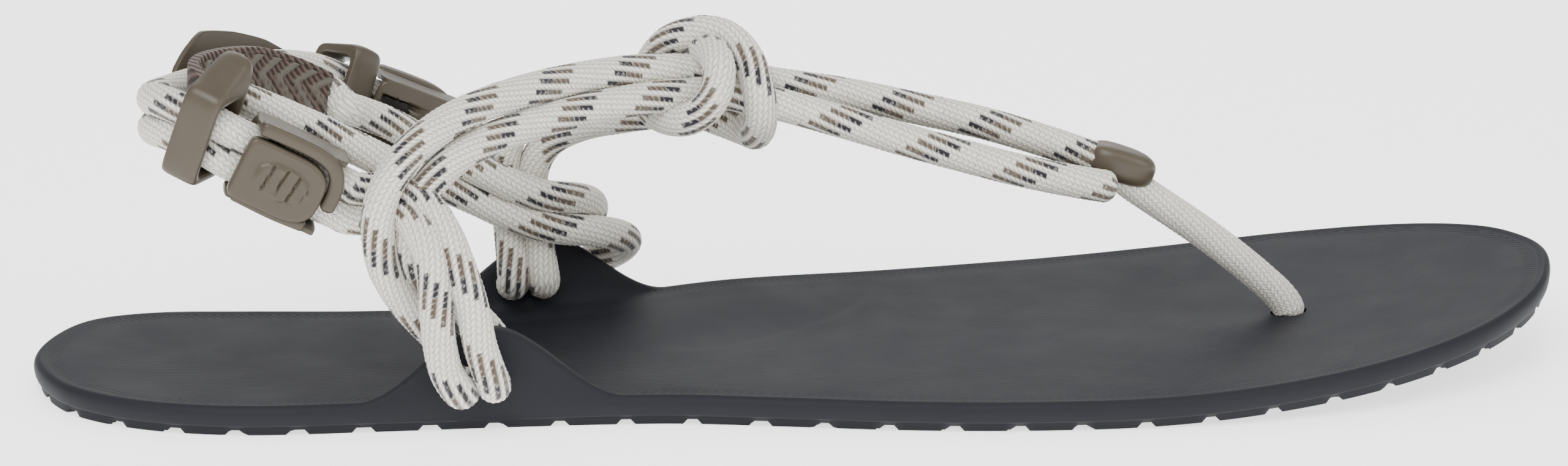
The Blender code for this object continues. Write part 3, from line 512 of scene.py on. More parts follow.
def webbing_material(settings):
    """Brown webbing in a fine twill with painted shade in its grooves and painted highlight on its ridges,
    and paler raised chevrons that have no twill.
    """
    made, tree, shader = start_material("heel webbing", 0.85, 0.2)
    twill = waves(tree, object_coordinates(tree), 330.0, 1.2)
    chevron = attribute(tree, "chevron")
    # Painted shade and highlight: on the same waves as the twill's bump, the colour falls to 0.22 in the
    # grooves and rises to 1.35 on the ridges.
    brown = mix_colour(tree, twill, shaded(settings.webbing, 0.22), shaded(settings.webbing, 1.35))
    mottle = noise(tree, 900.0)
    pale = mix_colour(tree, mottle, shaded(settings.chevron, 0.85), shaded(settings.chevron, 1.15))
    feed(tree, shader, [("Base Color", mix_colour(tree, chevron, brown, pale)), ("Sheen Weight", 0.2)])
    woven = maths(tree, "MULTIPLY", twill, maths(tree, "SUBTRACT", 1.0, chevron))
    bump(tree, shader, [(woven, 0.7, 0.00022), (noise(tree, 4200.0, 2.0), 0.3, 0.00008)])
    return made


# Cords

COLUMNS = 18
FLECK_PITCH = 14.8
FLECK_LENGTH = 6.2
BROWN_SHARE = 0.56
SAMPLES_AROUND = 54
SAMPLE_STEP = 0.27
TURN_LENGTH = 95.0
END_ROUNDING = 2.3
END_LEAST = 0.02
ROUTE_STEPS = 14
FADE_START = 0.04
FADE_WIDTH = 0.30
BRAID_INSET = 0.45
PATTERN_SHIFT = 3.1


def braid_relief(along, around, grain):
    """Height of the braid from 0 to 1: in each of its columns, the product of an arch across the column,
    sin(pi w), and slanting strokes, |sin(pi s)| with s = length / grain + w, or - w and half a stroke on in
    every other column, to the power 0.6."""
    column = np.floor(around * COLUMNS)
    across = around * COLUMNS - column
    lean = np.where(column % 2 == 0, 1.0, -1.0)
    stroke = along / grain + lean * across + 0.5 * (column % 2)
    return (np.sin(math.pi * across) * np.abs(np.sin(math.pi * stroke))) ** 0.6


def fleck_masks(along, around):
    """Where the dark and the brown strands show: in every other column a dash each FLECK_PITCH, brown and
    then dark. From column to column the dashes lie FLECK_PITCH / COLUMNS back, so that they wind round."""
    column = np.floor(around * COLUMNS)
    place_in_pitch = np.mod(along + column * FLECK_PITCH / COLUMNS, FLECK_PITCH)
    in_dash = (place_in_pitch < FLECK_LENGTH) & (np.mod(column, 2) == 0)
    is_brown = place_in_pitch < BROWN_SHARE * FLECK_LENGTH
    return in_dash & ~is_brown, in_dash & is_brown


def braided_cord(
    name, route, settings, look, replaced=(), flatten=1.0, pattern_start=0.0, sense=1.0,
):
    """A cord along a route: circles carried along the curve, flattened if asked. Their radius is the cord's
    less BRAID_INSET of the relief, plus the relief times height - 0.5, and is drawn in to rounded ends. A
    sense of -1 runs the braid the other way. The flecks fade out in the braid's creases."""
    fine = through(route, ROUTE_STEPS)
    total = lengths_along(fine)[-1]
    count = int(total / SAMPLE_STEP)
    curve = evenly(fine, count)
    normal, binormal = carried_frames(curve)
    along = np.linspace(0.0, total, count)[:, None]
    around = (np.arange(SAMPLES_AROUND) + 0.25)[None, :] / SAMPLES_AROUND + 0.0 * along
    along_braid = sense * along + pattern_start
    around_braid = np.mod(sense * around, 1.0)
    stroke = braid_relief(along_braid, around_braid, settings.grain / MM)
    fade = smooth_step((stroke - FADE_START) / FADE_WIDTH)
    navy, brown = (mask * fade for mask in fleck_masks(along_braid, around_braid))
    relief = settings.relief / MM
    rounding = end_rounding(np.minimum(along, total - along), END_ROUNDING, END_LEAST)
    radius = (0.5 * settings.diameter / MM - BRAID_INSET * relief + relief * (stroke - 0.5)) * rounding
    angle = 2.0 * math.pi * (around + along / TURN_LENGTH)
    offset = (
        normal[:, None] * (radius * np.cos(angle))[..., None]
        + binormal[:, None] * (radius * np.sin(angle) * flatten)[..., None]
    )
    points = np.vstack([(curve[:, None] + offset).reshape(-1, 3), curve[:1], curve[-1:]])
    index = ring_index(count, SAMPLES_AROUND)
    tip = np.full(SAMPLES_AROUND + 1, radius.size)
    faces = np.vstack([
        grid_faces(index.T),
        grid_faces(np.vstack([index[0], tip]).T),
        grid_faces(np.vstack([tip + 1, index[-1]]).T),
    ])
    piece = make_piece(name, points, faces, look, replaced)
    for label, values in (("stroke", stroke), ("navy", navy), ("brown", brown)):
        give_attribute(piece, label, np.concatenate([values.ravel(), [0.5, 0.5]]))
    lay_uv(piece, along + 0.0 * around, around * math.pi * settings.diameter / MM)


def lay_uv(piece, along, around):
    """A UV map named cord, in centimetres of length and girth, with the seam's girth carried past a turn."""
    centimetre = 0.1
    mesh = piece.data
    corner = np.empty(len(mesh.loops), np.int32)
    mesh.loops.foreach_get("vertex_index", corner)
    flat_u = np.append(along.ravel(), [0.0, along.max()]) * centimetre
    flat_v = np.append(around.ravel(), [0.0, 0.0]) * centimetre
    girth = flat_v.max() + flat_v[1] - flat_v[0]
    u, v = flat_u[corner], flat_v[corner]
    starts = np.empty(len(mesh.polygons), np.int32)
    sizes = np.empty(len(mesh.polygons), np.int32)
    mesh.polygons.foreach_get("loop_start", starts)
    mesh.polygons.foreach_get("loop_total", sizes)
    owner = np.repeat(np.arange(len(starts)), sizes)
    highest = np.zeros(len(starts))
    np.maximum.at(highest, owner, v)
    v = np.where(highest[owner] - v > 0.5 * girth, v + girth, v)
    layer = mesh.uv_layers.new(name="cord")
    layer.data.foreach_set("uv", np.stack([u, v], axis=1).ravel())


def pair_routes():
    """The heel strap's two cords: the pair's middle line moved up and down across the strap."""
    middle = np.array(HEEL_PAIR)
    tangent = unit(np.gradient(middle, axis=0))
    up = unit(np.array((0.0, 0.0, 1.0)) - tangent * tangent[:, 2:])
    return middle + 0.5 * PAIR_SPACING * up, middle - 0.5 * PAIR_SPACING * up


# Sole

PAIRS = 400
BED_COLUMNS = 56
TREAD_COLUMNS = 110
NOTCH_FLOOR = 0.45
ROWS_PER_SPAN = 3
CREST_ROW = 6
OUTLINE_STEPS = 24
EDGE_SAMPLES = 900
CHUNKS = 12
TREAD_SOFTNESS = 0.5
BAR_CLEARANCE = 5.0
BED_DROP = 0.35
PATCH_DROP = 0.22
PATCH_SOFTNESS = 1.6
BEYOND_PATCH = 60.0
SETTLE_START = 5.0
SETTLE_WIDTH = 4.0
WOVEN_ROWS = slice(-5, -1)
DARK_ROWS = slice(0, 4)
CUT_SAMPLES = 48
SLOT_REACH = 9.0
HOLE_SAMPLES = 40
HOLE_RADIUS = 3.3
HOLE_DEPTH = 3.2
HOLE_ABOVE = 4.0


def sole_outline():
    """The outline from the heel tip along the lateral side to the toe tip and back, as a closed curve."""
    lateral, medial = SOLE_STATIONS[:, [0, 1]], SOLE_STATIONS[::-1][:, [0, 2]]
    shares = np.vstack([HEEL_TIP, lateral, TOE_TIP, medial])
    return through(shares * (SOLE_LENGTH, SOLE_WIDTH), OUTLINE_STEPS, closed=True)


def toe_spring(x):
    """TOE_SPRING times the share of the way from its start to the toe, to the power SPRING_POWER."""
    start = SPRING_START * SOLE_LENGTH
    return TOE_SPRING * np.clip((x - start) / (SOLE_LENGTH - start), 0.0, None) ** SPRING_POWER


def rim_top(x, y):
    """Rim height: base, toe spring, and the arch, a bell along the length that fades in medially."""
    bell = np.exp(-(((x / SOLE_LENGTH - ARCH_PLACE) / ARCH_REACH) ** 2))
    return RIM_HEIGHT + toe_spring(x) + ARCH_RISE * bell * smooth_step(y / (0.3 * SOLE_WIDTH))


def ear_rise(x, y):
    """A rounded hump on each side of the instep, 1 - |distance| / reach put through the smooth step."""
    spot = np.where(y < 0.0, LATERAL_EAR, MEDIAL_EAR) * SOLE_LENGTH
    return np.where(y < 0.0, LATERAL_RISE, MEDIAL_RISE) * smooth_step(1.0 - np.abs(x - spot) / EAR_REACH)


def wall_rings(points, inward):
    """Rings of the wall from the tread's edge over the rim to the bed, smoothed from ten rows, each an inset
    and a height. From CREST_ROW on, the rows follow the rim's height at the place where they stand."""
    x, y = points[:, 0], points[:, 1]
    low = toe_spring(x) + LUG_HEIGHT
    top = rim_top(x, y)
    ear = ear_rise(x, y)
    raised = smooth_step(ear / (0.6 * LATERAL_RISE))
    thick = WALL_ROUND + (EAR_THICKNESS - WALL_ROUND) * raised
    rows = (
        (TREAD_INSET, low),
        (0.35, low + 0.5),
        (0.0, low + 0.5 * (top - low) + 0.22 * ear),
        (0.15 + 0.5 * raised, top - 0.9 + 0.72 * ear),
        (0.55 + 0.7 * raised, top - 0.35 + 0.96 * ear),
        (0.5 * (0.55 + thick) + 0.5 * raised, top + ear),
        (thick + 0.2, top - 0.1 + 0.96 * ear),
        (thick + 0.7 + 0.2 * raised, top - 0.2 + 0.55 * ear),
        (thick + 1.4 + 0.6 * raised, top - 0.25 + 0.14 * ear),
        (thick + 3.4 + 1.6 * raised, top - BED_DROP),
    )
    rings = np.stack([
        np.column_stack([points + inward * np.broadcast_to(inset, len(x))[:, None], z]) for inset, z in rows
    ])
    fall = rim_top(rings[..., 0], rings[..., 1]) - top
    rings[..., 2] += fall * (np.arange(len(rows)) >= CREST_ROW)[:, None]
    return through(rings, ROWS_PER_SPAN)


def nearest_edge(xy, outline):
    """Distance from each point to the outline, the outline's length up to the nearest place, and its whole
    length. The points are taken in chunks, to spare memory."""
    closed = np.vstack([outline, outline[:1]])
    coarse = evenly(closed, EDGE_SAMPLES)[:-1].astype(np.float32)
    step = lengths_along(closed)[-1] / len(coarse)
    distance = np.empty(len(xy))
    where = np.empty(len(xy))
    for chunk in np.array_split(np.arange(len(xy)), CHUNKS):
        gap = ((xy[chunk, None, :].astype(np.float32) - coarse[None]) ** 2).sum(axis=2)
        nearest = gap.argmin(axis=1)
        distance[chunk] = np.sqrt(gap[np.arange(len(chunk)), nearest])
        where[chunk] = nearest * step
    return distance, where, lengths_along(closed)[-1]


def tread_mask(xy, outline):
    """1 on the lugs and bars of the tread and 0 between them, with softened edges. Between the lugs it is
    NOTCH_FLOOR. Bars slant to the one side and the other by turns, and stand clear of the lugs."""
    distance, where, total = nearest_edge(xy, outline)
    pitch = total / round(total / (LUG_LENGTH + LUG_GAP))
    phase = np.mod(where, pitch)
    lug_end = pitch * LUG_LENGTH / (LUG_LENGTH + LUG_GAP)
    near_edge = soft_edge(TREAD_INSET + LUG_DEPTH - distance, TREAD_SOFTNESS)
    lug = soft_edge(np.minimum(phase, lug_end - phase), TREAD_SOFTNESS) * near_edge
    column = np.round(xy[:, 0] / TREAD_PITCH)
    stagger = 0.5 * np.mod(column - 1, 2)
    row = np.round(xy[:, 1] / (BAR_LENGTH + LUG_GAP) - stagger)
    centre_y = (row + stagger) * (BAR_LENGTH + LUG_GAP)
    across = (xy[:, 1] - centre_y) / (0.5 * BAR_LENGTH)
    slant = np.where(np.mod(row, 2) == 1, BAR_SLANT, -BAR_SLANT)
    off_bar = np.abs(xy[:, 0] - column * TREAD_PITCH - slant * across) - 0.5 * BAR_WIDTH
    within_length = (1.0 - np.abs(across)) * 0.5 * BAR_LENGTH
    bar = soft_edge(-off_bar, TREAD_SOFTNESS) * soft_edge(within_length, TREAD_SOFTNESS)
    centre_gap, _, _ = nearest_edge(np.column_stack([column * TREAD_PITCH, centre_y]), outline)
    bar = bar * (centre_gap > TREAD_INSET + LUG_DEPTH + LUG_GAP + BAR_CLEARANCE)
    return np.maximum(np.maximum(lug, bar), NOTCH_FLOOR * near_edge)


def arch_patch(xy):
    """1 within the smooth patch under the arch, 0 on the lined bed, by the side of a smooth boundary."""
    edge = through(ARCH_PATCH_EDGE, 8)
    border = np.interp(xy[:, 0], edge[:, 0], edge[:, 1], left=BEYOND_PATCH, right=BEYOND_PATCH)
    return soft_edge(xy[:, 1] - border, PATCH_SOFTNESS)


def bed_height(xy, outline):
    """Just below the rim at the edge, dished towards the middle, and a little lower in the arch patch."""
    distance, _, _ = nearest_edge(xy, outline)
    dish = DISH_DEPTH * smooth_step((distance - BED_MARGIN) / DISH_MARGIN)
    return rim_top(xy[:, 0], xy[:, 1]) - BED_DROP - dish - PATCH_DROP * arch_patch(xy)


def between_sides(ring, columns):
    """Points on straight lines across the sole, from each lateral sample of a ring to its medial partner."""
    lateral = ring[:PAIRS + 1]
    medial = np.vstack([ring[:1], ring[:PAIRS - 1:-1]])
    share = np.linspace(0.0, 1.0, columns + 1)[None, :, None]
    return lateral[:, None] * (1.0 - share) + medial[:, None] * share


def across_index(ring_start, inner_start, columns):
    """Vertex numbers of the lines across: a ring's own vertices at both ends, new ones between."""
    index = np.empty((PAIRS + 1, columns + 1), int)
    index[:, 0] = ring_start + np.arange(PAIRS + 1)
    index[:, -1] = ring_start + np.mod(2 * PAIRS - np.arange(PAIRS + 1), 2 * PAIRS)
    index[0, :] = ring_start
    index[-1, :] = ring_start + PAIRS
    index[1:-1, 1:-1] = inner_start + np.arange((PAIRS - 1) * (columns - 1)).reshape(PAIRS - 1, columns - 1)
    return index


def slot_tool(spot, side, lift):
    """A rounded slot's solid: two half circles joined, carried straight through the ear."""
    x = spot * SOLE_LENGTH - HOLE_SETBACK
    shares, edges = SOLE_STATIONS[:, 0], SOLE_STATIONS[:, 1 if side < 0 else 2]
    y = float(np.interp(spot, shares, edges)) * SOLE_WIDTH
    z = float(rim_top(np.array(x), np.array(y))) + lift
    angle = full_turn(CUT_SAMPLES)
    radius = 0.5 * HOLE_HEIGHT
    half = 0.5 * (HOLE_WIDTH - HOLE_HEIGHT)
    section = np.column_stack([
        x + np.sign(np.cos(angle)) * half + radius * np.cos(angle), z + radius * np.sin(angle),
    ])
    return prism("slot tool", section, y - SLOT_REACH, y + SLOT_REACH, axis=1)


def prism(name, section, low, high, axis):
    """A solid from an outline, carried straight along one axis from low to high."""
    count = len(section)
    points = np.empty((2 * count, 3))
    others = [other for other in range(3) if other != axis]
    points[:, others] = np.vstack([section, section])
    points[:, axis] = np.repeat((low, high), count)
    index = np.arange(count)
    following = np.roll(index, -1)
    sides = np.stack([index, following, following + count, index + count], axis=1)
    mesh = bpy.data.meshes.new(name)
    ends = [index.tolist()[::-1], (index + count).tolist()]
    mesh.from_pydata(place(points).tolist(), [], sides.tolist() + ends)
    piece = bpy.data.objects.new(name, mesh)
    bpy.context.scene.collection.objects.link(piece)
    return piece


def cut(piece, tools):
    """Cuts the tools out of the piece and keeps the result as its mesh."""
    for tool in tools:
        boolean = piece.modifiers.new(tool.name, "BOOLEAN")
        boolean.operation = "DIFFERENCE"
        boolean.object = tool
        boolean.solver = "EXACT"
    bpy.context.view_layer.update()
    graph = bpy.context.evaluated_depsgraph_get()
    result = bpy.data.meshes.new_from_object(piece.evaluated_get(graph))
    piece.modifiers.clear()
    old = piece.data
    piece.data = result
    bpy.data.meshes.remove(old)
    for tool in tools:
        bpy.data.meshes.remove(tool.data)


def height_at_post():
    return float(rim_top(*(np.array(value) for value in POST_FOOT)))


def build_sole(settings):
    """Rings of the wall, the bed and the tread between their ends, and then the slots and the post's hole
    cut out. The attributes rim, bed and edge tell the material where it is woven, lined and darker."""
    outline = sole_outline()
    middle = len(outline) // 2
    lateral = evenly(outline[:middle + 1], PAIRS + 1)
    medial = evenly(np.vstack([outline[middle:], outline[:1]]), PAIRS + 1)
    edge = np.vstack([lateral[:-1], medial[:-1]])
    tangent = unit(np.roll(edge, -1, axis=0) - np.roll(edge, 1, axis=0))
    inward = np.column_stack([-tangent[:, 1], tangent[:, 0]])
    rings = wall_rings(edge, inward)
    count = 2 * PAIRS
    walls = grid_faces(ring_index(len(rings), count).T)

    bed = between_sides(rings[-1], BED_COLUMNS)[1:-1, 1:-1].reshape(-1, 3)
    settle = smooth_step((nearest_edge(bed[:, :2], outline)[0] - SETTLE_START) / SETTLE_WIDTH)
    bed[:, 2] += (bed_height(bed[:, :2], outline) - bed[:, 2]) * settle
    bed_start = len(rings) * count
    bed_faces = grid_faces(across_index(bed_start - count, bed_start, BED_COLUMNS))

    tread = between_sides(rings[0], TREAD_COLUMNS)[1:-1, 1:-1].reshape(-1, 3)
    tread[:, 2] = toe_spring(tread[:, 0]) + LUG_HEIGHT * (1.0 - tread_mask(tread[:, :2], outline))
    tread_faces = grid_faces(across_index(0, bed_start + len(bed), TREAD_COLUMNS))[:, ::-1]

    points = np.vstack([rings.reshape(-1, 3), bed, tread])
    faces = np.vstack([walls[:, ::-1], bed_faces, tread_faces])
    look = rubber_material(settings)
    sole = make_piece("moulded_sole", points, faces, look, ("sole",), 50.0)
    woven, dark = np.zeros(rings.shape[:2]), np.zeros(rings.shape[:2])
    woven[WOVEN_ROWS] = ear_rise(rings[WOVEN_ROWS, :, 0], rings[WOVEN_ROWS, :, 1]) < 1.0
    dark[DARK_ROWS] = 1.0
    lined = settle * (1.0 - arch_patch(bed[:, :2]))
    no_wall, no_bed, no_tread = np.zeros(bed_start), np.zeros(len(bed)), np.zeros(len(tread))
    give_attribute(sole, "rim", np.concatenate([woven.ravel(), no_bed, no_tread]))
    give_attribute(sole, "bed", np.concatenate([no_wall, lined, no_tread]))
    give_attribute(sole, "edge", np.concatenate([dark.ravel(), no_bed, no_tread + 1.0]))

    angle = full_turn(HOLE_SAMPLES)
    circle = POST_FOOT + HOLE_RADIUS * np.column_stack([np.cos(angle), np.sin(angle)])
    bed_at_post = height_at_post()
    post_hole = prism("post hole", circle, bed_at_post - HOLE_DEPTH, bed_at_post + HOLE_ABOVE, axis=2)
    cut(sole, [slot_tool(LATERAL_EAR, -1, LATERAL_LIFT), slot_tool(MEDIAL_EAR, 1, MEDIAL_LIFT), post_hole])


# Hardware

POCKET_DEPTH = 1.0
EMBLEM_HEIGHT = 0.45
EMBLEM_CENTRE = 0.2
EMBLEM_HALVES = (5.3, 3.2)
WINDOW_CENTRE = (-4.6, 2.6)
WINDOW_HALVES = (3.0, 1.5)
WINDOW_SOFTNESS = 0.3
LOCK_WALL = 0.62
FACE_START = 0.04
FACE_STEPS = 26
RIM_STEPS = 6
BAR_RINGS = 70
BAR_SAMPLES = 28
BAR_END = 3.0
CORNER_POWER = 7.0
SECTION_POWER = 4.5
KEEPER_INNER = (3.9, 6.5)
KEEPER_OUTER = (5.6, 8.2)
KEEPER_HALF_LENGTH = 3.35
BEAD_HALVES = (6.4, 4.3, 3.2)
BEAD_FLAT = 0.72
BEAD_STEEP = 0.62
SHARP_ABOVE = 38.0


def seat_axes(name):
    """Centre, and unit axes along the strap, inwards to the foot, and upwards across the strap."""
    centre, along, inward = (np.array(part, float) for part in SEATS[name])
    along = unit(along)
    inward = unit(inward - along * (along @ inward))
    across = np.cross(along, inward)
    return centre, np.stack([along, inward, across * np.sign(across[2])])


def from_seat(seat, local):
    centre, axes = seat
    return centre + np.asarray(local) @ axes


def outward_faces(seat, faces):
    """Faces turned round where the seat's axes are left-handed."""
    return faces if np.linalg.det(seat[1]) > 0.0 else faces[:, ::-1]


def slab(name, seat, size, centre, edge, powers, look, replaced=(), relief=None, pocket=None, count=96):
    """A flat body lying in the strap's plane. Its outline is |x/a|^p + |z/b|^p = 1, with one of the powers
    for each end, its rim a quarter circle of radius edge, and its faces rings that shrink to their centre.
    relief(x, z) adds to the outer face; pocket(x, z) sinks the inner one, kept as an attribute for painted
    shade."""
    angle = full_turn(count)
    power = np.where(np.cos(angle) < 0.0, *powers)
    outline_x = signed_power(np.cos(angle), 2.0 / power)
    outline_z = signed_power(np.sin(angle), 2.0 / power)
    turn = np.linspace(0.0, 0.5 * math.pi, RIM_STEPS)
    fill = np.linspace(FACE_START, 1.0, FACE_STEPS)
    half_depth = 0.5 * size[1]
    rows = [(share, 0.0, half_depth) for share in fill[:-1]]
    rows += [(1.0, edge * math.sin(t), half_depth - edge * (1.0 - math.cos(t))) for t in turn]
    rows += [(1.0, edge * math.cos(t), -half_depth + edge * (1.0 - math.sin(t))) for t in turn]
    rows += [(share, 0.0, -half_depth) for share in fill[-2::-1]]
    share, reach, depth = (np.array(column)[:, None] for column in zip(*rows))
    x = (0.5 * size[0] - edge) * share * outline_x + reach * outline_x
    z = (0.5 * size[2] - edge) * share * outline_z + reach * outline_z
    y = depth + 0.0 * x
    if relief is not None:
        y = np.where((y < 0.0) & (share <= 1.0), y - relief(x, z) * (reach < 0.02 * edge), y)
    sunk = 0.0 * x
    if pocket is not None:
        sunk = np.where(y > half_depth - 0.01, pocket(x, z), 0.0)
        y = y - POCKET_DEPTH * sunk
    local = np.stack([x, y, z], axis=-1).reshape(-1, 3)
    ends = np.array([(0.0, half_depth, 0.0), (0.0, -half_depth, 0.0)])
    points = from_seat(seat, np.vstack([local + centre, ends + centre]))
    faces = outward_faces(seat, closed_faces(len(rows), count))
    piece = make_piece(name, points, faces, look, replaced, SHARP_ABOVE)
    give_attribute(piece, "pocket", np.append(sunk.ravel(), [0.0, 0.0]))


def swept_bar(name, seat, path, half_width, half_depth, centre_depth, power, look):
    """A bar in the strap's plane: the section |a / half_width|^p + |b / half_depth|^p = 1, a across the path
    and b deep, carried along the path of (x, z) points and drawn in to rounded ends."""
    line = evenly(through(path, 10), BAR_RINGS)
    tangent = unit(np.gradient(line, axis=0))
    across = np.column_stack([-tangent[:, 1], tangent[:, 0]])
    angle = full_turn(BAR_SAMPLES)
    width = signed_power(np.cos(angle), 2.0 / power) * half_width
    depth = signed_power(np.sin(angle), 2.0 / power) * half_depth
    to_end = np.minimum(np.arange(BAR_RINGS), np.arange(BAR_RINGS)[::-1])
    rounding = end_rounding(to_end + 0.4, BAR_END)[:, None]
    flat = line[:, None] + across[:, None] * (width[None] * rounding)[..., None]
    deep = centre_depth + depth[None] * rounding
    local = np.stack([flat[..., 0], deep, flat[..., 1]], axis=-1).reshape(-1, 3)
    ends = np.insert(line[[0, -1]], 1, centre_depth, axis=1)
    points = from_seat(seat, np.vstack([local, ends]))
    faces = outward_faces(seat, closed_faces(BAR_RINGS, BAR_SAMPLES)[:, ::-1])
    make_piece(name, points, faces, look, smooth_below=SHARP_ABOVE)


def oval_emblem(x, z):
    """A plain raised oval in four segments: EMBLEM_HEIGHT within the ellipse, less three upright grooves."""
    from_centre = np.hypot((x - EMBLEM_CENTRE) / EMBLEM_HALVES[0], (z - EMBLEM_CENTRE) / EMBLEM_HALVES[1])
    inside = smooth_step((1.0 - from_centre) * 8.0)
    grooves = smooth_step(1.0 - np.abs(np.mod(x - 0.12 * z + 1.2, 2.4) - 1.2) / 0.34)
    return EMBLEM_HEIGHT * inside * (1.0 - grooves)


def window(x, z):
    """1 in a rectangle near the upper edge, 0 outside it."""
    wide = soft_edge(WINDOW_HALVES[0] - np.abs(x - WINDOW_CENTRE[0]), WINDOW_SOFTNESS)
    tall = soft_edge(WINDOW_HALVES[1] - np.abs(z - WINDOW_CENTRE[1]), WINDOW_SOFTNESS)
    return wide * tall


def build_lock(side, look):
    """A cord lock: a back plate, walls above and below the cords, a rib round the lever, a bar below it, and
    the lever."""
    seat = seat_axes(f"{side}_lock")
    name = f"{side}_lock"
    wall = 0.5 * LOCK_HEIGHT
    half = 0.5 * LOCK_LENGTH
    slab(
        f"{name}_plate", seat, (LOCK_LENGTH, 1.3, LOCK_HEIGHT), (0.0, 0.5 * PAIR_DEPTH + 0.68, 0.0), 0.55,
        (7.0, 7.0), look, (f"{name}_body",), pocket=window,
    )
    for label, height in (("upper", wall - LOCK_WALL), ("lower", LOCK_WALL - wall)):
        path = [(0.3 - half, height), (0.0, height), (half - 0.3, height)]
        swept_bar(f"{name}_{label}_wall", seat, path, LOCK_WALL, 4.9, -0.1, 6.0, look)
    rim = [
        (0.9 - half, wall - 0.7), (-2.0, wall - 0.5), (3.2, wall - 0.7), (6.6, wall - 2.0),
        (8.2, wall - 4.9), (8.4, wall - 9.4),
    ]
    swept_bar(f"{name}_rib", seat, rim, 1.3, 1.7, -4.9, 3.6, look)
    foot = [(1.4 - half, 1.0 - wall), (0.0, 0.8 - wall), (half - 2.6, 1.1 - wall)]
    swept_bar(f"{name}_foot", seat, foot, 1.0, 1.3, -4.7, 3.6, look)
    lever = (LOCK_LENGTH - 2.2, 3.0, 11.6)
    slab(
        f"{name}_lever_cover", seat, lever, (-0.9, -0.5 * PAIR_DEPTH - 1.6, -0.9), 0.7, (9.0, 3.0), look,
        (f"{name}_lever",), oval_emblem, count=160,
    )


def build_ring(side, saddle, look):
    """A keeper: between an inner and an outer rounded rectangle round the strap, a superellipse section,
    with the outer one raised on top towards the foot into a horn saddle high, which dips in its middle."""
    seat = seat_axes(f"{side}_ring")
    angle = full_turn(120)
    corner_y = signed_power(np.cos(angle), 2.0 / CORNER_POWER)
    corner_z = signed_power(np.sin(angle), 2.0 / CORNER_POWER)
    inner = np.column_stack([corner_y, corner_z]) * KEEPER_INNER
    towards_foot = 0.12 + 0.88 * smooth_step(0.5 + 0.5 * corner_y)
    lift = saddle * smooth_step((corner_z - 0.2) / 0.8) * towards_foot
    outer = np.column_stack([KEEPER_OUTER[0] * corner_y + 0.1 * lift, KEEPER_OUTER[1] * corner_z + lift])
    middle, half = 0.5 * (inner + outer), 0.5 * (outer - inner)
    turn = full_turn(36)
    reach = signed_power(np.sin(turn), 2.0 / SECTION_POWER)
    along = KEEPER_HALF_LENGTH * signed_power(np.cos(turn), 2.0 / SECTION_POWER)
    section = middle[:, None] + half[:, None] * reach[None, :, None]
    to_middle = 1.0 - (along / KEEPER_HALF_LENGTH) ** 2
    dip = -0.2 * lift[:, None] * (reach > 0.0)[None] * reach[None] * to_middle[None]
    local = np.stack([along + 0.0 * dip, section[..., 0], section[..., 1] - dip], axis=-1)
    index = ring_index(len(angle), len(turn))
    faces = outward_faces(seat, grid_faces(np.vstack([index, index[:1]])))
    points = from_seat(seat, local.reshape(-1, 3))
    make_piece(f"{side}_keeper", points, faces, look, (f"{side}_ring",), SHARP_ABOVE)


def build_bead(look):
    """The bead at the top of the toe post: a superellipsoid, tipped down to the toe."""
    turn = full_turn(72)[None]
    lift = np.linspace(-0.5 * math.pi, 0.5 * math.pi, 42)[1:-1, None]
    ring = signed_power(np.cos(lift), BEAD_STEEP)
    length, breadth, height = BEAD_HALVES
    local = np.stack([
        length * ring * signed_power(np.cos(turn), BEAD_FLAT),
        breadth * ring * signed_power(np.sin(turn), BEAD_FLAT),
        height * signed_power(np.sin(lift), BEAD_STEEP) + 0.0 * turn,
    ], axis=-1)
    faces = closed_faces(*local.shape[:2])[:, ::-1]
    local = np.vstack([local.reshape(-1, 3), [(0.0, 0.0, -height), (0.0, 0.0, height)]])
    turned = local @ np.array(Matrix.Rotation(CONNECTOR_TILT, 3, "Y")).T
    make_piece("toe_post_bead", turned + CONNECTOR_CENTRE, faces, look, ("toe_connector",))


# Webbing

PAD_HEIGHT = 13.4
PAD_THICKNESS = 2.0
PLATE_HEIGHT = 13.0
PLATE_THICKNESS = 1.2
STRAP_ROUNDING = 1.2
STRAP_POWER = 0.22
CHEVRON_PITCH = 4.6
CHEVRON_SLANT = 7.5
CHEVRON_HEIGHT = 0.5


def strap_frames(route, count):
    """A strap on edge: its middle line, and unit directions outwards and upwards across it."""
    middle = evenly(through(route, 16), count)
    tangent = np.gradient(middle, axis=0)
    level = unit(tangent * (1.0, 1.0, 0.0))
    outward = np.column_stack([-level[:, 1], level[:, 0], np.zeros(count)])
    up = np.cross(outward, unit(tangent))
    return middle, outward, up * np.sign(up[:, 2:])


def strap(
    name, route, heights, thickness, relief, look, replaced, count=150, across=64, rise_power=0.5,
):
    """A flat strap: a superellipse section of the given thickness and height carried along a route, with
    relief(along, across) added to the face that looks inwards to the foot. Gives back the piece and the
    relief at each of its points."""
    middle, outward, up = strap_frames(route, count)
    along = lengths_along(middle)[:, None]
    height = np.interp(np.linspace(0.0, 1.0, count), np.linspace(0.0, 1.0, len(heights)), heights)[:, None]
    angle = full_turn(2 * across)[None]
    rise = signed_power(np.sin(angle), rise_power)
    depth = signed_power(np.cos(angle), STRAP_POWER) * 0.5 * thickness
    raised = relief(along, rise) if relief else 0.0 * (along + rise)
    depth = depth + 0.0 * along - raised * (depth < -0.3 * thickness)
    rounding = end_rounding(np.minimum(along, along[-1] - along), STRAP_ROUNDING, 0.03)
    points = (
        middle[:, None] + outward[:, None] * (depth * rounding)[..., None]
        + up[:, None] * (0.5 * rise * height * (0.9 + 0.1 * rounding))[..., None]
    )
    points = np.vstack([points.reshape(-1, 3), middle[:1], middle[-1:]])
    piece = make_piece(name, points, closed_faces(count, 2 * across), look, replaced, 60.0)
    return piece, np.append((raised * (depth < 0.0)).ravel(), [0.0, 0.0])


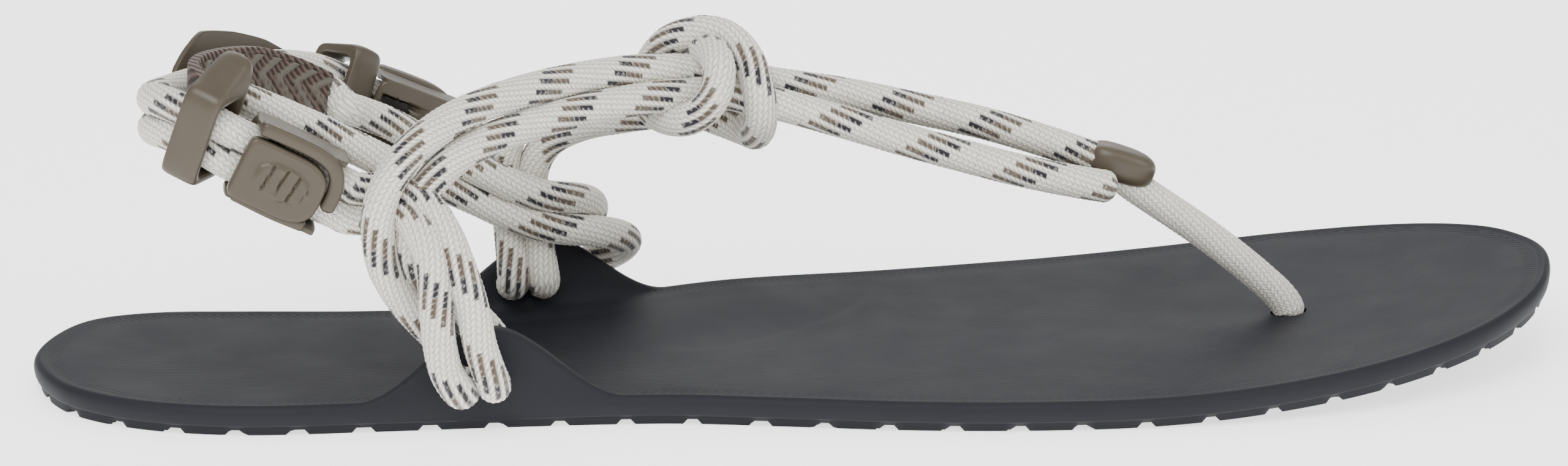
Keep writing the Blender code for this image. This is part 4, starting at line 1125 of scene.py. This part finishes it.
def pad_relief(along, rise):
    """Raised chevrons that point to the back of the heel, between two corded edges."""
    lead = np.mod(along - CHEVRON_SLANT * np.abs(rise - 0.3), CHEVRON_PITCH)
    off_middle = np.abs(lead - 0.5 * CHEVRON_PITCH)
    chevron = soft_edge(2.0 - off_middle * 2.0, 0.6) * (np.abs(rise) < 0.80)
    edge = 0.3 * (np.abs(rise) >= 0.84) * (0.6 + 0.4 * np.sin(along * 5.2 + np.sign(rise)))
    return CHEVRON_HEIGHT * chevron * (along > 1.5) + edge


def build_pad(settings):
    heights = np.array((0.85, 1.0, 1.0, 1.0, 0.92, 0.76)) * PAD_HEIGHT
    look = webbing_material(settings)
    piece, raised = strap(
        "heel_webbing", PAD_ROUTE, heights, PAD_THICKNESS, pad_relief, look, ("heel_pad",),
    )
    give_attribute(piece, "chevron", smooth_step((raised - 0.34) / 0.1))


def build_plate(look):
    heights = np.array((0.24, 0.96, 0.93, 0.82, 0.58)) * PLATE_HEIGHT
    strap(
        "heel_guard", PLATE_ROUTE, heights, PLATE_THICKNESS, None, look, ("heel_plate",),
        count=90, across=32, rise_power=0.6,
    )


# Operators

CAMERA_LENS = 120.8
CAMERA_SENSOR = 36.0
CAMERA_END = 20.0
CAMERA_ELEVATION = math.radians(14.5)
CAMERA_AZIMUTH = math.radians(-7.0)
CAMERA_DISTANCE = 0.95
CAMERA_AIM = (-0.004, -0.0016, 0.025)
FLOOR_REACH = 8.0
WHITE = (1.0, 1.0, 1.0, 1.0)
WORLD_STRENGTH = 0.72
# Each light's name, place, size in metres, and share of the key light's power
LIGHTS = (
    ("key", (-0.35, -0.75, 1.0), 0.9, 1.0),
    ("fill", (0.9, -0.6, 0.7), 0.9, 0.4),
    ("back", (0.1, 0.9, 0.8), 1.0, 0.4),
)


class SandalOperator:
    bl_options = {"REGISTER", "UNDO"}


class SANDAL_OT_stage(SandalOperator, bpy.types.Operator):
    """Pale floor, soft studio lights and the camera"""

    bl_idname = "sandal.stage"
    bl_label = "Stage"

    def execute(self, context):
        settings = context.scene.sandal_stage
        camera_data = bpy.data.cameras.new("camera")
        camera_data.lens = CAMERA_LENS
        camera_data.sensor_width = CAMERA_SENSOR
        camera_data.clip_end = CAMERA_END
        camera = bpy.data.objects.new("camera", camera_data)
        context.scene.collection.objects.link(camera)
        level = math.cos(CAMERA_ELEVATION)
        back = Vector((
            math.sin(CAMERA_AZIMUTH) * level, -math.cos(CAMERA_AZIMUTH) * level, math.sin(CAMERA_ELEVATION),
        ))
        camera.location = Vector(CAMERA_AIM) + back * CAMERA_DISTANCE
        camera.rotation_euler = back.to_track_quat("Z", "Y").to_euler()
        context.scene.camera = camera

        made, tree, shader = start_material("floor", 0.7, 0.2)
        tint = mix_colour(tree, noise(tree, 3.0), shaded(settings.floor, 0.99), shaded(settings.floor, 1.01))
        feed(tree, shader, [
            ("Base Color", tint), ("Emission Color", WHITE), ("Emission Strength", settings.floor_glow),
        ])
        mesh = bpy.data.meshes.new("floor")
        corners = [(x * FLOOR_REACH, y * FLOOR_REACH, 0.0) for x, y in ((-1, -1), (1, -1), (1, 1), (-1, 1))]
        mesh.from_pydata(corners, [], [(0, 1, 2, 3)])
        mesh.materials.append(made)
        floor = bpy.data.objects.new("floor", mesh)
        context.scene.collection.objects.link(floor)

        world = bpy.data.worlds.new("studio")
        world.use_nodes = True
        background = world.node_tree.nodes["Background"]
        feed(world.node_tree, background, [("Color", WHITE), ("Strength", WORLD_STRENGTH)])
        context.scene.world = world
        for name, where, size, share in LIGHTS:
            light = bpy.data.lights.new(name, "AREA")
            light.energy = share * settings.key_power
            light.size = size
            lamp = bpy.data.objects.new(name, light)
            lamp.location = where
            lamp.rotation_euler = Vector(where).to_track_quat("Z", "Y").to_euler()
            context.scene.collection.objects.link(lamp)
        return {"FINISHED"}


class SANDAL_OT_cords(SandalOperator, bpy.types.Operator):
    """The upper: every run of the braided cord, through the ears, the knot and round the heel"""

    bl_idname = "sandal.cords"
    bl_label = "Braided cords"

    def execute(self, context):
        settings = context.scene.sandal_cord
        look = cord_material("braided cord", settings, True)
        upper, lower = pair_routes()
        runs = (
            ("lateral_cord_front", LATERAL_FIRST, -1.0),
            ("lateral_cord_rear", INTO_BEAD + LATERAL_SECOND, 1.0),
            ("knot_cord", KNOT, -1.0),
            ("medial_cord_front", MEDIAL_FIRST + FRONT_TUCK, 1.0),
            ("medial_cord_rear", MEDIAL_SECOND + REAR_TUCK, -1.0),
            ("heel_cord_upper", upper, 1.0),
            ("heel_cord_lower", lower, -1.0),
            ("inner_cord", INNER_LATERAL, 1.0),
        )
        for number, (name, route, sense) in enumerate(runs):
            replaced = ("cord_harness",) if number == 0 else ()
            start = PATTERN_SHIFT * number
            braided_cord(name, route, settings, look, replaced=replaced, pattern_start=start, sense=sense)
        return {"FINISHED"}


class SANDAL_OT_toe_post(SandalOperator, bpy.types.Operator):
    """The plain cord between the toes and the bead at its top"""

    bl_idname = "sandal.toe_post"
    bl_label = "Toe post"

    def execute(self, context):
        settings = context.scene.sandal_cord
        look = cord_material("plain cord", settings, False)
        bed = height_at_post()
        route = (
            (195.6, 3.6, 34.6), (199.0, 3.5, 31.6), (205.0, 3.3, 27.4), (211.6, 2.9, 22.8),
            (217.6, 2.5, 18.2), (222.8, 2.2, 13.8), (226.6, POST_FOOT[1], bed + 1.9),
            (*POST_FOOT, bed - 0.9), (*POST_FOOT, bed - 2.8),
        )
        braided_cord("toe_post_cord", route, settings, look, ("toe_post",), flatten=0.95)
        build_bead(plastic_material("tan plastic", shaded(context.scene.sandal_trim.colour, 1.15)))
        return {"FINISHED"}


class SANDAL_OT_sole(SandalOperator, bpy.types.Operator):
    """The moulded sole with its ears, rim, arch patch and tread"""

    bl_idname = "sandal.sole"
    bl_label = "Sole"

    def execute(self, context):
        build_sole(context.scene.sandal_sole)
        return {"FINISHED"}


class SANDAL_OT_hardware(SandalOperator, bpy.types.Operator):
    """Both cord locks, both keepers and the heel guard"""

    bl_idname = "sandal.hardware"
    bl_label = "Locks and keepers"

    def execute(self, context):
        look = plastic_material("taupe plastic", context.scene.sandal_trim.colour)
        for side in ("lateral", "medial"):
            build_lock(side, look)
        build_ring("lateral", 5.4, look)
        build_ring("medial", 1.0, look)
        build_plate(look)
        return {"FINISHED"}


class SANDAL_OT_webbing(SandalOperator, bpy.types.Operator):
    """The heel webbing with raised chevrons"""

    bl_idname = "sandal.webbing"
    bl_label = "Heel webbing"

    def execute(self, context):
        build_pad(context.scene.sandal_trim)
        return {"FINISHED"}


class SANDAL_PT_panel(bpy.types.Panel):
    """Lists the sandal's sizes and builders"""

    bl_label = "Sport sandal"
    bl_idname = "SANDAL_PT_panel"
    bl_space_type = "VIEW_3D"
    bl_region_type = "UI"
    bl_category = "Sandal"

    def draw(self, context):
        scene = context.scene
        for group in (scene.sandal_cord, scene.sandal_sole, scene.sandal_trim, scene.sandal_stage):
            for key in group.__annotations__:
                self.layout.prop(group, key)
        for operator in OPERATORS:
            self.layout.operator(operator.bl_idname)


SETTINGS = {
    "sandal_cord": SandalCordSettings,
    "sandal_sole": SandalSoleSettings,
    "sandal_trim": SandalTrimSettings,
    "sandal_stage": SandalStageSettings,
}
OPERATORS = (
    SANDAL_OT_stage, SANDAL_OT_cords, SANDAL_OT_toe_post, SANDAL_OT_sole, SANDAL_OT_hardware,
    SANDAL_OT_webbing,
)
CLASSES = (*SETTINGS.values(), *OPERATORS, SANDAL_PT_panel)


def register():
    for made in CLASSES:
        bpy.utils.register_class(made)
    for name, group in SETTINGS.items():
        setattr(bpy.types.Scene, name, PointerProperty(type=group))


def unregister():
    for name in SETTINGS:
        delattr(bpy.types.Scene, name)
    for made in reversed(CLASSES):
        bpy.utils.unregister_class(made)


def main():
    register()
    bpy.ops.sandal.stage()
    bpy.ops.sandal.cords()
    bpy.ops.sandal.toe_post()
    bpy.ops.sandal.sole()
    bpy.ops.sandal.hardware()
    bpy.ops.sandal.webbing()


if __name__ == "__main__":
    main()
